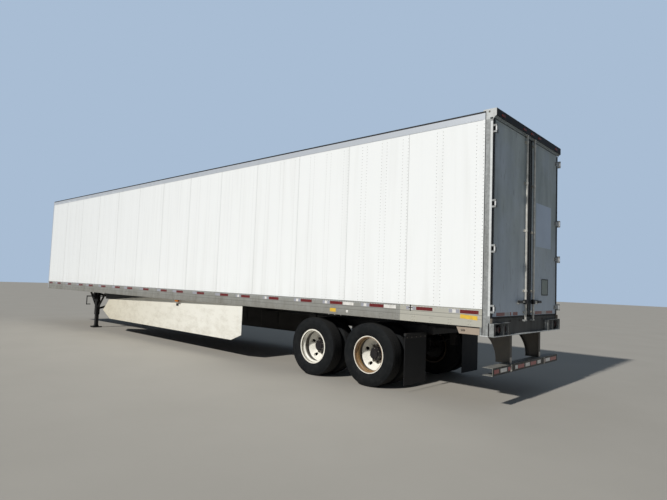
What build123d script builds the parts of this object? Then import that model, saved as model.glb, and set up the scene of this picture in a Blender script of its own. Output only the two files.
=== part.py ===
"""Dry van semi trailer: sheet-and-post body, sliding tandem, landing gear, swing doors.

Units are millimetres. +X is forward, +Y is the left (road) side, +Z is up.
The origin is on the ground under the centre of the trailer.
"""

import os
from math import asin, cos, degrees, hypot, sin, sqrt

from build123d import *

os.makedirs("parts", exist_ok=True)

# Overall size
LENGTH = 16154.0
WIDTH = 2590.8
HEIGHT = 4115.0

# Floor and rails
FLOOR_TOP = 1245.0
DECK_T = 35.0
BOARD_COUNT = 8
BOARD_GAP = 0.6
BEAM_H = 101.6
BEAM_W = 63.0
BEAM_FLANGE_T = 5.0
BEAM_WEB_T = 4.5
BEAM_PITCH = 304.8
RAIL_WEB_T = 5.0
RAIL_FLANGE_T = 5.0
RAIL_FLANGE_W = 50.0
RAIL_H = 246.6
RAIL_GROOVE_Z = 118.0
RAIL_GROOVE = 3.0
SEAT_GAP = 0.2

# Walls and roof
WALL_T = 38.0
SHEET_W = 1219.2
SEAM = 1.0
POST_PITCH = 406.4
POST_W = 60.0
POST_STAND = 3.0
HEADER_RISE = 20.0
TOP_RAIL_H = 119.0
SHELF_T = 6.0
SHELF_W = 38.0
SKIN_T = 4.0
BOW_H = 25.0
BOW_W = 50.0
BOW_PITCH = 609.6
CORNER_DEPTH = 101.4
CORNER_WIDTH = 105.0
CORNER_R = 75.0

# Rear frame
FRAME_DEPTH = 203.0
FRAME_BOTTOM = 985.0
POST_FACE = 57.0
POST_SIDE_W = 56.0
STOP_W = 24.4
GROOVE_BACK = 172.0
GROOVE = 4.0
SILL_PLATE_T = 12.0
SILL_TOP_H = 45.0
SILL_STEP = 20.0
HEADER_H = 145.0
HEADER_STEP = 22.0
HOOD_RISE = 20.0
HOOD_BACK = 7.0
CHEEK_T = 10.0
CHEEK_TOP = 13.0
CHEEK_R = 83.2
LIP_T = 12.0
LAMP_BOX_H = 180.0
LAMP_BOX_IN = 744.0
LAMP_POCKETS = ((820.0, 936.0), (990.0, 1245.0))
LAMP_POCKET_MARGIN = 14.0
GUSSET_L = 364.0
GUSSET_T = 10.0
GUSSET_INSET = 18.0
GUSSET_H = 109.0
GUSSET_SLOPE = 50.0

# Door hinges
PIN_BACK = 13.0
PIN_INSET = 16.0
PIN_R = 8.0
PIN_FIT = 0.05
EYE_R = 13.0
EYE_H = 60.0
EAR_H = 25.0
EAR_GAP = 1.0
EAR_ROOT = 30.0
HINGE_UP = (128.0, 943.0)
HINGE_DOWN = (1195.0, 155.0)
STRAP_T = 8.0
STRAP_REACH = 70.0
LEAF_T = 6.0
LEAF_END = 150.0

# Doors
DOOR_T = 38.0
DOOR_GAP = 6.0
DOOR_MEET = 3.0
DOOR_TOP_GAP = 7.0
DOOR_SILL_GAP = 7.0
DOOR_EDGE_W = 45.0
DOOR_GROOVE_W = 3.0
DOOR_GROOVE = 2.0
ROD_Y = 150.0
ROD_R = 16.0
ROD_STAND = 32.0
ROD_DROP = 60.0
CAM_W = 52.0
CAM_H = 14.0
CAM_T = 34.0
CAM_CORNER = 6.0
KEEPER_CLEAR = 6.0
KEEPER_T = 12.0
KEEPER_DEPTH = 46.0
GUIDE_UP = (68.0, 388.0, 1298.0)
GUIDE_DOWN = (725.0, 85.0)
GUIDE_W = 74.0
GUIDE_H = 34.0
GUIDE_WALL = 5.0
HANDLE_UP = 223.0
HANDLE_L = 290.0
HANDLE_H = 30.0
HANDLE_T = 12.0
CATCH_OUT = 209.0
CATCH_W = 42.0
CATCH_H = 60.0
PLACARD_Y = 715.0
PLACARD_UP = 456.0
PLACARD_W = 285.0
PLACARD_H = 265.0
PLACARD_T = 6.0
PLACARD_RIM = 12.0
PLACARD_CORNER = 12.0

# Lamps
MARKER_W = 100.0
MARKER_H = 32.0
MARKER_T = 7.0
MARKER_DOWN = 63.0
MARKER_Y = (-1070.0, -300.0, 0.0, 300.0, 1070.0)
TAIL_R = 51.0
TAIL_T = 20.0
TAIL_LAMPS = (878.0, 1055.0, 1180.0)
SIDE_LAMP_X = -183.0
SIDE_LAMP_W = 130.0
SIDE_LAMP_H = 45.0
SIDE_LAMP_T = 40.0

# Underride guard
BAR_Z = 462.0
BAR_H = 108.0
BAR_D = 145.0
BAR_T = 6.0
BAR_HALF = 1250.0
BAR_BACK = 27.0
STRUT_Y = 560.0
STRUT_W = 70.0
STRUT_T = 8.0
STRUT_BACK = 72.0
STRUT_TOP_D = 420.0
STRUT_BOTTOM_D = 215.0

# Coupler and kingpin
KINGPIN_SETBACK = 914.0
COUPLER_HALF = 610.0
COUPLER_BACK = 900.0
COUPLER_FRONT = 120.0
COUPLER_T = 10.0
COUPLER_CHANNELS = 8
CHANNEL_PITCH = 215.0
CHANNEL_W = 80.0
PLATE_CORNER = 40.0
PIN_FLANGE_T = 15.0
PIN_FLANGE_CLEAR = 5.0
COLLAR_FIT = 0.3
COLLAR_R = 36.5
COLLAR_H = 30.0
NECK_R = 25.4
NECK_H = 35.0
HEAD_R = 35.75
HEAD_H = 19.0
HEAD_CHAMFER = 3.0

# Sliding tandem
TANDEM_BACK = 2741.5
AXLE_SPREAD = 1244.6
SLIDE_Y = 559.0
SLIDE_W = 88.0
SLIDE_T = 10.0
SLIDE_H = 123.4
SLIDE_WEB_T = 8.0
SLIDE_LENGTH = 5410.0
HOLE_PITCH = 152.4
HOLE_R = 16.0
HOLE_UP = 61.0
RUN_GAP = 0.3
SLIDER_W = 76.0
SLIDER_H = 124.0
SLIDER_HALF_L = 1400.0
SLIDER_CROSS = (-1330.0, -300.0, 300.0, 1330.0)
CROSS_W = 90.0
CROSS_H = 96.0
CLIP_X = (-1250.0, 1250.0)
CLIP_L = 110.0
CLIP_T = 8.0
CLIP_CLEAR = 5.0
LOCK_X = (-1050.0, 1050.0)
LOCK_R = 13.0
LOCK_SHORT = 6.0
LOCK_L = 120.0

# Springs and hangers
SPRING_W = 74.0
LEAF_COUNT = 3
LEAF_THICK = 14.0
LEAF_REACH = (510.0, 400.0, 250.0)
SPRING_R = 1490.0
SEAT_T = 26.0
SEAT_HALF = 70.0
CLAMP_HALF = 92.0
CLAMP_T = 14.0
UBOLT_R = 9.0
UBOLT_X = 75.0
UBOLT_Y = 50.0
HANGER_PLATE_T = 8.0
HANGER_SIDE_GAP = 1.0
HANGER_OUT = 1150.0
HANGER_L = 150.0
HANGER_DROP = 262.0
HANGER_TAPER = 0.6
EQUALISER_L = 240.0
EQUALISER_H = 60.0
EQUALISER_TAPER = 0.8
PIVOT_R = 26.0
TORQUE_EYE_R = 30.0
TORQUE_EYE_W = 60.0
TORQUE_ROD_R = 16.0
TORQUE_BOLT_R = 12.0
TORQUE_FIT = 0.3
TORQUE_UP = 32.0
TORQUE_REACH = 112.0
TORQUE_LUG_T = 8.0
TORQUE_LUG_H = 44.0

# Axles, brakes and wheels
AXLE_Z = 505.0
AXLE_R = 63.5
TRACK_HALF = 984.25
TUBE_END = 727.0
SPINDLE_R = 45.0
SPINDLE_END = 1075.0
SHIELD_R = 182.0
SHIELD_T = 6.0
BORE_FIT = 0.05
DUAL_SPACING = 342.9
TYRE_R = 505.0
TYRE_HALF_W = 139.0
TREAD_HALF_W = 116.0
CROWN = 4.0
BEAD_HALF_W = 104.0
RIM_R = 286.0
RIM_GAP = 0.3
RIM_HALF_W = 112.0
RIM_FLANGE_R = 302.0
RIM_FLANGE_T = 7.0
RIM_T = 9.0
DISC_T = 11.0
DISC_FACE_R = 178.0
DISC_HOLE_R = 110.5
DISC_START = 62.0
HAND_HOLES = 5
HAND_HOLE_R = 30.0
HAND_HOLE_PCR = 212.0
HUB_R = 105.0
HUB_FLANGE_R = 162.0
HUB_END = 1092.0
CAP_R = 72.0
CAP_END = 1112.0
HUB_INNER = 740.0
HUB_INNER_R = 80.0
DRUM_R = 204.0
DRUM_T = 14.0
DRUM_END = 928.0
CHAMBER_R = 78.0
CHAMBER_L = 230.0
CHAMBER_Y = 400.0
CHAMBER_UP = 155.0
CHAMBER_FWD = 150.0
BRACKET_T = 12.0
BRACKET_R = 86.0
CAMSHAFT_BACK = 115.0
CAMSHAFT_R = 17.0
CAMSHAFT_IN = 24.0
CAM_BRACKET_OUT = 60.0
SLACK_T = 14.0
SLACK_W = 30.0
PUSHROD_R = 8.0
TANK_R = 125.0
TANK_L = 780.0
TANK_SADDLE = 60.0
FLAP_X = 1284.5
FLAP_T = 8.0
FLAP_IN = 608.0
FLAP_OUT = 1218.0
FLAP_BOTTOM = 110.0
ARM_H = 40.0

# Landing gear
LEGS_BEHIND_PIN = 2083.0
LEG_Y = 840.0
LEG_OUTER = 120.0
LEG_INNER = 95.0
LEG_OUTER_BOTTOM = 400.0
FOOT_W = 254.0
FOOT_T = 12.0
FOOT_TIP = 34.0
FOOT_TURN = 26.0
FOOT_LUG_H = 62.0
FOOT_LUG_W = 110.0
BRACE_W = 60.0
BRACE_T = 10.0
BRACE_BAYS = 2
BRACE_LOW = 560.0
SHAFT_R = 16.0
SHAFT_DOWN = 148.0
WING_W = 300.0
WING_H = 300.0
WING_T = 8.0
GEARBOX_W = 130.0
GEARBOX_H = 170.0
GEARBOX_D = 70.0
GEARBOX_CORNER = 18.0
CRANK_OUT = 1180.0
CRANK_ARM = 260.0
CRANK_GRIP = 120.0

# Side skirts
SKIRT_T = 8.0
SKIRT_REAR_X = -2690.0
SKIRT_INSET_REAR = 20.0
SKIRT_INSET_FRONT = 250.0
SKIRT_OUTLINE = (
    # ahead of the rear edge, down from the rail
    (0.0, 3.0),
    (0.0, 597.0),
    (350.0, 726.0),
    (6390.0, 733.0),
    (6900.0, 513.0),
    (6520.0, 183.0),
    (5200.0, 85.0),
    (3900.0, 3.0),
)
SKIRT_SEAMS = (2300.0, 4600.0)
SKIRT_STRUT_AT = (450.0, 1670.0, 2890.0, 4110.0, 5330.0)
SKIRT_STRUT_W = 50.0
SKIRT_STRUT_T = 8.0
SKIRT_STRUT_IN = 330.0
SKIRT_STRUT_DROP = 563.0
SKIRT_STRUT_BEND = 243.0
SKIRT_STRUT_FOOT = 60.0

# Service recess in the front
RECESS_HALF = 200.0
RECESS_H = 84.0
RECESS_UP = 14.0
RECESS_DEPTH = 85.0
TRAY_T = 3.0
COUPLING_Y = 130.0
COUPLING_R = 28.0
COUPLING_L = 45.0
COUPLING_NECK_R = 17.0
COUPLING_NECK_L = 20.0
COUPLING_SEAL_R = 11.0
COUPLING_SEAL = 6.0
SOCKET_R = 26.0
SOCKET_L = 50.0
SOCKET_PLATE = 64.0
SOCKET_PLATE_T = 5.0
SOCKET_BORE = 22.0

# Places worked out from the sizes
rear_x = -LENGTH / 2
front_x = LENGTH / 2
side_y = WIDTH / 2
panel_y = side_y - RAIL_WEB_T
inner_y = panel_y - WALL_T
beam_top = FLOOR_TOP - DECK_T
beam_bottom = beam_top - BEAM_H
rail_bottom = beam_bottom - RAIL_FLANGE_T
rail_top = rail_bottom + RAIL_H
roof_top = HEIGHT - HEADER_RISE
shelf_top = roof_top - SKIN_T
panel_top = shelf_top - SHELF_T
wall_rear = rear_x + FRAME_DEPTH
wall_front = front_x - CORNER_DEPTH
front_face = front_x - RAIL_WEB_T
front_inner = front_face - WALL_T
corner_y = side_y - CORNER_WIDTH
face_x = rear_x + POST_FACE
stop_x = face_x + DOOR_T + DOOR_GAP
post_in_y = side_y - POST_SIDE_W
stop_y = post_in_y - STOP_W
pin_x = rear_x + PIN_BACK
pin_y = side_y - PIN_INSET
door_edge_y = post_in_y - DOOR_GAP
header_bottom = HEIGHT - HEADER_H
door_lintel = header_bottom + HEADER_STEP
door_top = door_lintel - DOOR_TOP_GAP
sill_step_z = FLOOR_TOP - SILL_STEP
door_bottom = sill_step_z + DOOR_SILL_GAP
hood_bottom = door_lintel + HOOD_RISE
hood_back = rear_x + HOOD_BACK
rod_x = face_x - ROD_STAND
rod_bottom = door_bottom - ROD_DROP
hinge_zs = [door_bottom + up for up in HINGE_UP] + [door_top - down for down in HINGE_DOWN]
guide_zs = [door_bottom + up for up in GUIDE_UP] + [door_top - down for down in GUIDE_DOWN]
pin_to_leaf = face_x - pin_x - LEAF_T / 2
rod_top = hood_bottom - CAM_H / 2
kingpin_x = front_x - KINGPIN_SETBACK
tandem_x = rear_x + TANDEM_BACK
axle_xs = {"front": tandem_x + AXLE_SPREAD / 2, "rear": tandem_x - AXLE_SPREAD / 2}
slide_top = beam_bottom
slide_bottom = slide_top - SLIDE_H
hole_z = slide_bottom + HOLE_UP
slider_top = slide_bottom - RUN_GAP
slider_bottom = slider_top - SLIDER_H
leg_top = beam_bottom
shaft_z = leg_top - SHAFT_DOWN
coupler_rear = kingpin_x - COUPLER_BACK
beam_count = int((coupler_rear - wall_rear - BEAM_PITCH) // BEAM_PITCH) + 1
beam_xs = [wall_rear + BEAM_PITCH * (i + 0.5) for i in range(beam_count)]
SIDES = {"left": 1, "right": -1}


def level(z):
    """Horizontal plane at height z."""
    return Plane.XY.offset(z)


def across(x):
    """Plane across the trailer at x: its own axes are Y and Z, and it faces forward."""
    return Plane.YZ.offset(x)


def along(y):
    """Plane along the trailer at y: its own axes are X and Z, and it faces the right side."""
    return Plane.XZ.offset(-y)


def beam_near(x):
    """Middle of the crossmember nearest to x, which carries what is bolted on there."""
    return min(beam_xs, key=lambda beam_x: abs(beam_x - x))


def save(piece, name):
    """Name one finished piece and write its STEP file."""
    piece.part.label = name
    export_step(piece.part, f"parts/{name}.step")


# Floor boards, between the rail webs and round the front corner posts
board_pitch = 2 * (panel_y - SEAT_GAP) / BOARD_COUNT
floor_length = front_inner - SEAT_GAP - wall_rear
with BuildPart() as floor_deck:
    with BuildSketch(level(beam_top)):
        with Locations((wall_rear + floor_length / 2, 0)):
            with GridLocations(0, board_pitch, 1, BOARD_COUNT):
                Rectangle(floor_length, board_pitch - BOARD_GAP)
        for side in SIDES.values():
            with Locations((wall_front - SEAT_GAP, side * (inner_y - SEAT_GAP))):
                corner = (Align.MIN, Align.MIN if side > 0 else Align.MAX)
                Rectangle(CORNER_DEPTH, side_y, align=corner, mode=Mode.SUBTRACT)
    extrude(amount=DECK_T)
save(floor_deck, "floor_deck")

# I-beam crossmembers, standing on the rail flanges
with BuildPart() as crossmembers:
    with BuildSketch(along(0)):
        with Locations(*[(beam_x, beam_bottom) for beam_x in beam_xs]):
            Rectangle(BEAM_W, BEAM_FLANGE_T, align=(Align.CENTER, Align.MIN))
            Rectangle(BEAM_WEB_T, BEAM_H, align=(Align.CENTER, Align.MIN))
        with Locations(*[(beam_x, beam_top) for beam_x in beam_xs]):
            Rectangle(BEAM_W, BEAM_FLANGE_T, align=(Align.CENTER, Align.MAX))
    extrude(amount=panel_y - SEAT_GAP, both=True)
save(crossmembers, "crossmembers")


def bottom_rail(side):
    """Aluminium extrusion under one side: outer web with two grooves and an inward flange."""
    with BuildPart() as rail:
        with BuildSketch(across(wall_rear)):
            with BuildLine():
                Polyline(
                    (side * side_y, rail_bottom),
                    (side * side_y, rail_top),
                    (side * panel_y, rail_top),
                    (side * panel_y, beam_bottom),
                    (side * (panel_y - RAIL_FLANGE_W), beam_bottom),
                    (side * (panel_y - RAIL_FLANGE_W), rail_bottom),
                    close=True,
                )
            make_face()
            for height in (RAIL_GROOVE_Z, RAIL_H - RAIL_GROOVE * 4):
                with Locations((side * side_y, rail_bottom + height)):
                    Rectangle(RAIL_GROOVE, RAIL_GROOVE, mode=Mode.SUBTRACT)
        extrude(amount=wall_front - wall_rear)
    return rail


def top_rail(side):
    """Aluminium extrusion over one side: outer web with an inward shelf for the roof."""
    with BuildPart() as rail:
        with BuildSketch(across(wall_rear)):
            with BuildLine():
                Polyline(
                    (side * side_y, roof_top - TOP_RAIL_H),
                    (side * side_y, roof_top),
                    (side * panel_y, roof_top),
                    (side * panel_y, shelf_top),
                    (side * (panel_y - SHELF_W), shelf_top),
                    (side * (panel_y - SHELF_W), panel_top),
                    (side * panel_y, panel_top),
                    (side * panel_y, roof_top - TOP_RAIL_H),
                    close=True,
                )
            make_face()
        extrude(amount=wall_front - wall_rear)
    return rail


def side_wall(side):
    """Wall of sheets side by side, each with its posts standing a little proud inside."""
    span = wall_front - wall_rear
    sheets = round(span / SHEET_W)
    pitch = span / sheets
    posts = max(1, round(pitch / POST_PITCH))
    with BuildPart() as wall:
        with BuildSketch(level(FLOOR_TOP)):
            for i in range(sheets):
                middle = wall_rear + pitch * (i + 0.5)
                with Locations((middle, side * (panel_y - WALL_T / 2))):
                    Rectangle(pitch - SEAM, WALL_T)
                with Locations((middle, side * (inner_y + WALL_T / 4))):
                    with GridLocations(pitch / posts, 0, posts, 1):
                        Rectangle(POST_W, WALL_T / 2 + 2 * POST_STAND)
        extrude(amount=panel_top - FLOOR_TOP)
    return wall


for side_name, side in SIDES.items():
    save(bottom_rail(side), f"bottom_rail_{side_name}")
    save(top_rail(side), f"top_rail_{side_name}")
    save(side_wall(side), f"side_wall_{side_name}")

# Roof skin on the rail shelves, with the bows bonded under it
bow_count = int((wall_front - wall_rear) // BOW_PITCH)
with BuildPart() as roof_panel:
    with BuildSketch(level(shelf_top)):
        with Locations(((wall_rear + front_face) / 2, 0)):
            Rectangle(front_face - wall_rear - SEAT_GAP, 2 * (panel_y - SEAT_GAP))
    extrude(amount=SKIN_T)
    front_corners = roof_panel.edges().filter_by(Axis.Z).group_by(Axis.X)[-1]
    fillet(front_corners, CORNER_R - RAIL_WEB_T)
    with BuildSketch(along(0)):
        with Locations(*[(wall_rear + BOW_PITCH * (i + 0.5), shelf_top) for i in range(bow_count)]):
            Trapezoid(BOW_W, BOW_H, 110, align=(Align.CENTER, Align.MAX))
    extrude(amount=panel_y - SHELF_W - SEAT_GAP, both=True)
save(roof_panel, "roof_panel")

# Front wall of two panels, open where the service recess is
recess_bottom = beam_bottom + RECESS_UP
with BuildPart() as front_wall:
    with BuildSketch(level(beam_bottom)):
        with Locations(((front_inner + front_face) / 2, 0)):
            with GridLocations(0, corner_y, 1, 2):
                Rectangle(WALL_T, corner_y - SEAM)
    extrude(amount=panel_top - beam_bottom)
    with BuildSketch(across(front_inner)):
        with Locations((0, recess_bottom)):
            Rectangle(2 * RECESS_HALF, RECESS_H, align=(Align.CENTER, Align.MIN))
    extrude(amount=WALL_T, mode=Mode.SUBTRACT)
save(front_wall, "front_wall")

# Front corner posts with round outer corners, and the rails between them
with BuildPart() as front_frame:
    with BuildSketch(level(rail_bottom)) as corner_section:
        for side in SIDES.values():
            away = Align.MAX if side > 0 else Align.MIN
            with Locations((front_x, side * side_y)):
                Rectangle(CORNER_DEPTH, CORNER_WIDTH, align=(Align.MAX, away))
        outer = [v for v in corner_section.vertices() if abs(v.Y) > side_y - 1 and v.X > front_x - 1]
        fillet(outer, CORNER_R)
        for side in SIDES.values():
            away = Align.MAX if side > 0 else Align.MIN
            with Locations((front_inner, side * inner_y)):
                Rectangle(CORNER_DEPTH, CORNER_WIDTH, align=(Align.MAX, away), mode=Mode.SUBTRACT)
    extrude(amount=shelf_top - rail_bottom)
    with BuildSketch(along(0)):
        with BuildLine():
            Polyline(
                (front_x, rail_bottom),
                (front_x, rail_top),
                (front_face, rail_top),
                (front_face, beam_bottom),
                (front_inner, beam_bottom),
                (front_inner, rail_bottom),
                close=True,
            )
        make_face()
        with BuildLine():
            Polyline(
                (front_x, roof_top - TOP_RAIL_H),
                (front_x, roof_top),
                (front_face, roof_top),
                (front_face, shelf_top),
                (front_inner, shelf_top),
                (front_inner, panel_top),
                (front_face, panel_top),
                (front_face, roof_top - TOP_RAIL_H),
                close=True,
            )
        make_face()
    extrude(amount=corner_y, both=True)
    with BuildSketch(across(front_face)):
        with Locations((0, recess_bottom)):
            Rectangle(2 * RECESS_HALF, RECESS_H, align=(Align.CENTER, Align.MIN))
    extrude(amount=RAIL_WEB_T, mode=Mode.SUBTRACT)
save(front_frame, "front_frame")

# Recessed tray in the front with two air couplings and the electric socket
tray_back = front_face - RECESS_DEPTH
recess_mid = recess_bottom + RECESS_H / 2
with BuildPart() as service_connections:
    with BuildSketch(across(tray_back)):
        with Locations((0, recess_mid)):
            Rectangle(2 * RECESS_HALF - 2 * SEAT_GAP, RECESS_H - 2 * SEAT_GAP)
    extrude(amount=RECESS_DEPTH)
    with BuildSketch(across(tray_back + TRAY_T)):
        with Locations((0, recess_mid)):
            Rectangle(2 * (RECESS_HALF - TRAY_T), RECESS_H - 2 * TRAY_T)
    extrude(amount=RECESS_DEPTH, mode=Mode.SUBTRACT)
    with BuildSketch(across(tray_back + TRAY_T)):
        with Locations((-COUPLING_Y, recess_mid), (COUPLING_Y, recess_mid)):
            Circle(COUPLING_NECK_R)
        with Locations((0, recess_mid)):
            Circle(SOCKET_R)
    extrude(amount=COUPLING_NECK_L)
    with BuildSketch(across(tray_back + TRAY_T + COUPLING_NECK_L)):
        with Locations((-COUPLING_Y, recess_mid), (COUPLING_Y, recess_mid)):
            Circle(COUPLING_R)
            Circle(COUPLING_SEAL_R, mode=Mode.SUBTRACT)
    extrude(amount=COUPLING_L - COUPLING_NECK_L)
    with BuildSketch(across(tray_back + TRAY_T + COUPLING_NECK_L)):
        with Locations((-COUPLING_Y, recess_mid), (COUPLING_Y, recess_mid)):
            Circle(COUPLING_SEAL_R)
    extrude(amount=COUPLING_L - COUPLING_NECK_L - COUPLING_SEAL)
    with BuildSketch(across(tray_back + TRAY_T + COUPLING_NECK_L)):
        with Locations((0, recess_mid)):
            Circle(SOCKET_R)
            Circle(SOCKET_BORE, mode=Mode.SUBTRACT)
    extrude(amount=SOCKET_L - COUPLING_NECK_L)
    with BuildSketch(across(tray_back + TRAY_T)):
        with Locations((0, recess_mid)):
            RectangleRounded(SOCKET_PLATE, SOCKET_PLATE, SOCKET_PLATE_T)
    extrude(amount=SOCKET_PLATE_T)
save(service_connections, "service_connections")

# Upper coupler: the plate that rides on the tractor's fifth wheel, with its cross channels
coupler_front = front_x - COUPLER_FRONT
channel_start = kingpin_x - CHANNEL_PITCH * (COUPLER_CHANNELS - 1) / 2 - CHANNEL_W / 2
with BuildPart() as upper_coupler:
    with BuildSketch(level(beam_bottom - COUPLER_T)):
        with Locations(((coupler_rear + coupler_front) / 2, 0)):
            RectangleRounded(coupler_front - coupler_rear, 2 * COUPLER_HALF, PLATE_CORNER)
        with Locations((kingpin_x, 0)):
            Circle(COLLAR_R + COLLAR_FIT, mode=Mode.SUBTRACT)
    extrude(amount=COUPLER_T)
    with BuildSketch(along(0)):
        for i in range(COUPLER_CHANNELS):
            with Locations((channel_start + CHANNEL_PITCH * i, beam_bottom)):
                Rectangle(CHANNEL_W, BEAM_H, align=(Align.MIN, Align.MIN))
            cavity_x = channel_start + CHANNEL_PITCH * i + BEAM_FLANGE_T
            with Locations((cavity_x, beam_bottom + BEAM_FLANGE_T)):
                cavity = (CHANNEL_W, BEAM_H - 2 * BEAM_FLANGE_T)
                Rectangle(*cavity, align=(Align.MIN, Align.MIN), mode=Mode.SUBTRACT)
    extrude(amount=panel_y - SEAT_GAP, both=True)
save(upper_coupler, "upper_coupler")

# Kingpin: flange on the coupler plate, collar through it, neck and head turned from one forging
pin_top = beam_bottom - COUPLER_T
pin_flange_r = (CHANNEL_PITCH - CHANNEL_W) / 2 - PIN_FLANGE_CLEAR
with BuildPart() as kingpin:
    with BuildSketch(along(0)):
        with BuildLine():
            Polyline(
                (kingpin_x, beam_bottom + PIN_FLANGE_T),
                (kingpin_x + pin_flange_r, beam_bottom + PIN_FLANGE_T),
                (kingpin_x + pin_flange_r, beam_bottom),
                (kingpin_x + COLLAR_R, beam_bottom),
                (kingpin_x + COLLAR_R, pin_top - COLLAR_H),
                (kingpin_x + NECK_R, pin_top - COLLAR_H),
                (kingpin_x + NECK_R, pin_top - COLLAR_H - NECK_H),
                (kingpin_x + HEAD_R, pin_top - COLLAR_H - NECK_H),
                (kingpin_x + HEAD_R, pin_top - COLLAR_H - NECK_H - HEAD_H + HEAD_CHAMFER),
                (kingpin_x + HEAD_R - HEAD_CHAMFER, pin_top - COLLAR_H - NECK_H - HEAD_H),
                (kingpin_x, pin_top - COLLAR_H - NECK_H - HEAD_H),
                close=True,
            )
        make_face()
    revolve(axis=Axis((kingpin_x, 0, 0), (0, 0, 1)))
save(kingpin, "kingpin")


def rear_post(side):
    """Door post: L section with the door stop inboard, hinge ears and pins, and the rail gusset."""
    with BuildPart() as post:
        with BuildSketch(level(FRAME_BOTTOM)):
            with BuildLine():
                Polyline(
                    (face_x, side * side_y),
                    (wall_rear, side * side_y),
                    (wall_rear, side * stop_y),
                    (stop_x, side * stop_y),
                    (stop_x, side * post_in_y),
                    (face_x, side * post_in_y),
                    close=True,
                )
            make_face()
            with Locations((rear_x + GROOVE_BACK, side * side_y)):
                Rectangle(GROOVE, 2 * GROOVE, mode=Mode.SUBTRACT)
        extrude(amount=header_bottom - FRAME_BOTTOM)
        for hinge_z in hinge_zs:
            for low in (hinge_z - EYE_H / 2 - EAR_GAP - EAR_H, hinge_z + EYE_H / 2 + EAR_GAP):
                with BuildSketch(level(low)):
                    with Locations((pin_x, side * pin_y)):
                        Circle(EYE_R)
                    with BuildLine():
                        Polyline(
                            (pin_x, side * (pin_y + EYE_R)),
                            (face_x, side * side_y),
                            (face_x, side * (pin_y - EAR_ROOT)),
                            (pin_x, side * (pin_y - EYE_R)),
                            close=True,
                        )
                    make_face()
                extrude(amount=EAR_H)
            with BuildSketch(level(hinge_z - EYE_H / 2 - EAR_GAP)):
                with Locations((pin_x, side * pin_y)):
                    Circle(PIN_R)
            extrude(amount=EYE_H + 2 * EAR_GAP)
        with BuildSketch(along(side * (side_y - GUSSET_INSET))):
            with BuildLine():
                Polyline(
                    (wall_rear, rail_bottom),
                    (wall_rear + GUSSET_L, rail_bottom),
                    (wall_rear + GUSSET_L - GUSSET_SLOPE, rail_bottom - GUSSET_H),
                    (wall_rear, rail_bottom - GUSSET_H),
                    close=True,
                )
            make_face()
        extrude(amount=side * GUSSET_T)
    return post


def hinge_straps(side):
    """The four straps of one door: eye on the pin, diagonal neck and leaf on the door's face."""
    neck = hypot(STRAP_REACH, pin_to_leaf)
    across_x = STRAP_T / 2 * STRAP_REACH / neck
    across_y = STRAP_T / 2 * pin_to_leaf / neck
    with BuildPart() as straps:
        for hinge_z in hinge_zs:
            with BuildSketch(level(hinge_z - EYE_H / 2)):
                with Locations((pin_x, side * pin_y)):
                    Circle(EYE_R)
                with BuildLine():
                    Polyline(
                        (pin_x + across_x, side * (pin_y + across_y)),
                        (pin_x + pin_to_leaf + across_x, side * (pin_y - STRAP_REACH + across_y)),
                        (pin_x + pin_to_leaf - across_x, side * (pin_y - STRAP_REACH - across_y)),
                        (pin_x - across_x, side * (pin_y - across_y)),
                        close=True,
                    )
                make_face()
                with BuildLine():
                    Polyline(
                        (face_x, side * (pin_y - STRAP_REACH + STRAP_T)),
                        (face_x, side * (pin_y - LEAF_END)),
                        (face_x - LEAF_T, side * (pin_y - LEAF_END)),
                        (face_x - LEAF_T, side * (pin_y - STRAP_REACH + STRAP_T)),
                        close=True,
                    )
                make_face()
                with Locations((pin_x, side * pin_y)):
                    Circle(PIN_R + PIN_FIT, mode=Mode.SUBTRACT)
            extrude(amount=EYE_H)
        with BuildSketch(along(0)):
            with Locations((face_x, FRAME_BOTTOM)):
                Rectangle(DOOR_T, HEIGHT, align=(Align.MIN, Align.MIN))
        extrude(amount=side_y, both=True, mode=Mode.SUBTRACT)
    return straps


def door_panel(side):
    """Door leaf, as thick as the whole door, with the groove that parts its edge frame from the skins."""
    skin_w = door_edge_y - DOOR_MEET - 2 * DOOR_EDGE_W
    skin_h = door_top - door_bottom - 2 * DOOR_EDGE_W
    with BuildPart() as leaf:
        with BuildSketch(across(face_x)):
            with BuildLine():
                Polyline(
                    (side * DOOR_MEET, door_bottom),
                    (side * door_edge_y, door_bottom),
                    (side * door_edge_y, door_top),
                    (side * DOOR_MEET, door_top),
                    close=True,
                )
            make_face()
        extrude(amount=DOOR_T)
        for depth_x in (face_x, face_x + DOOR_T - DOOR_GROOVE):
            with BuildSketch(across(depth_x)):
                with Locations((side * (DOOR_MEET + door_edge_y) / 2, (door_bottom + door_top) / 2)):
                    Rectangle(skin_w + 2 * DOOR_GROOVE_W, skin_h + 2 * DOOR_GROOVE_W)
                    Rectangle(skin_w, skin_h, mode=Mode.SUBTRACT)
            extrude(amount=DOOR_GROOVE, mode=Mode.SUBTRACT)
    return leaf


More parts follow.
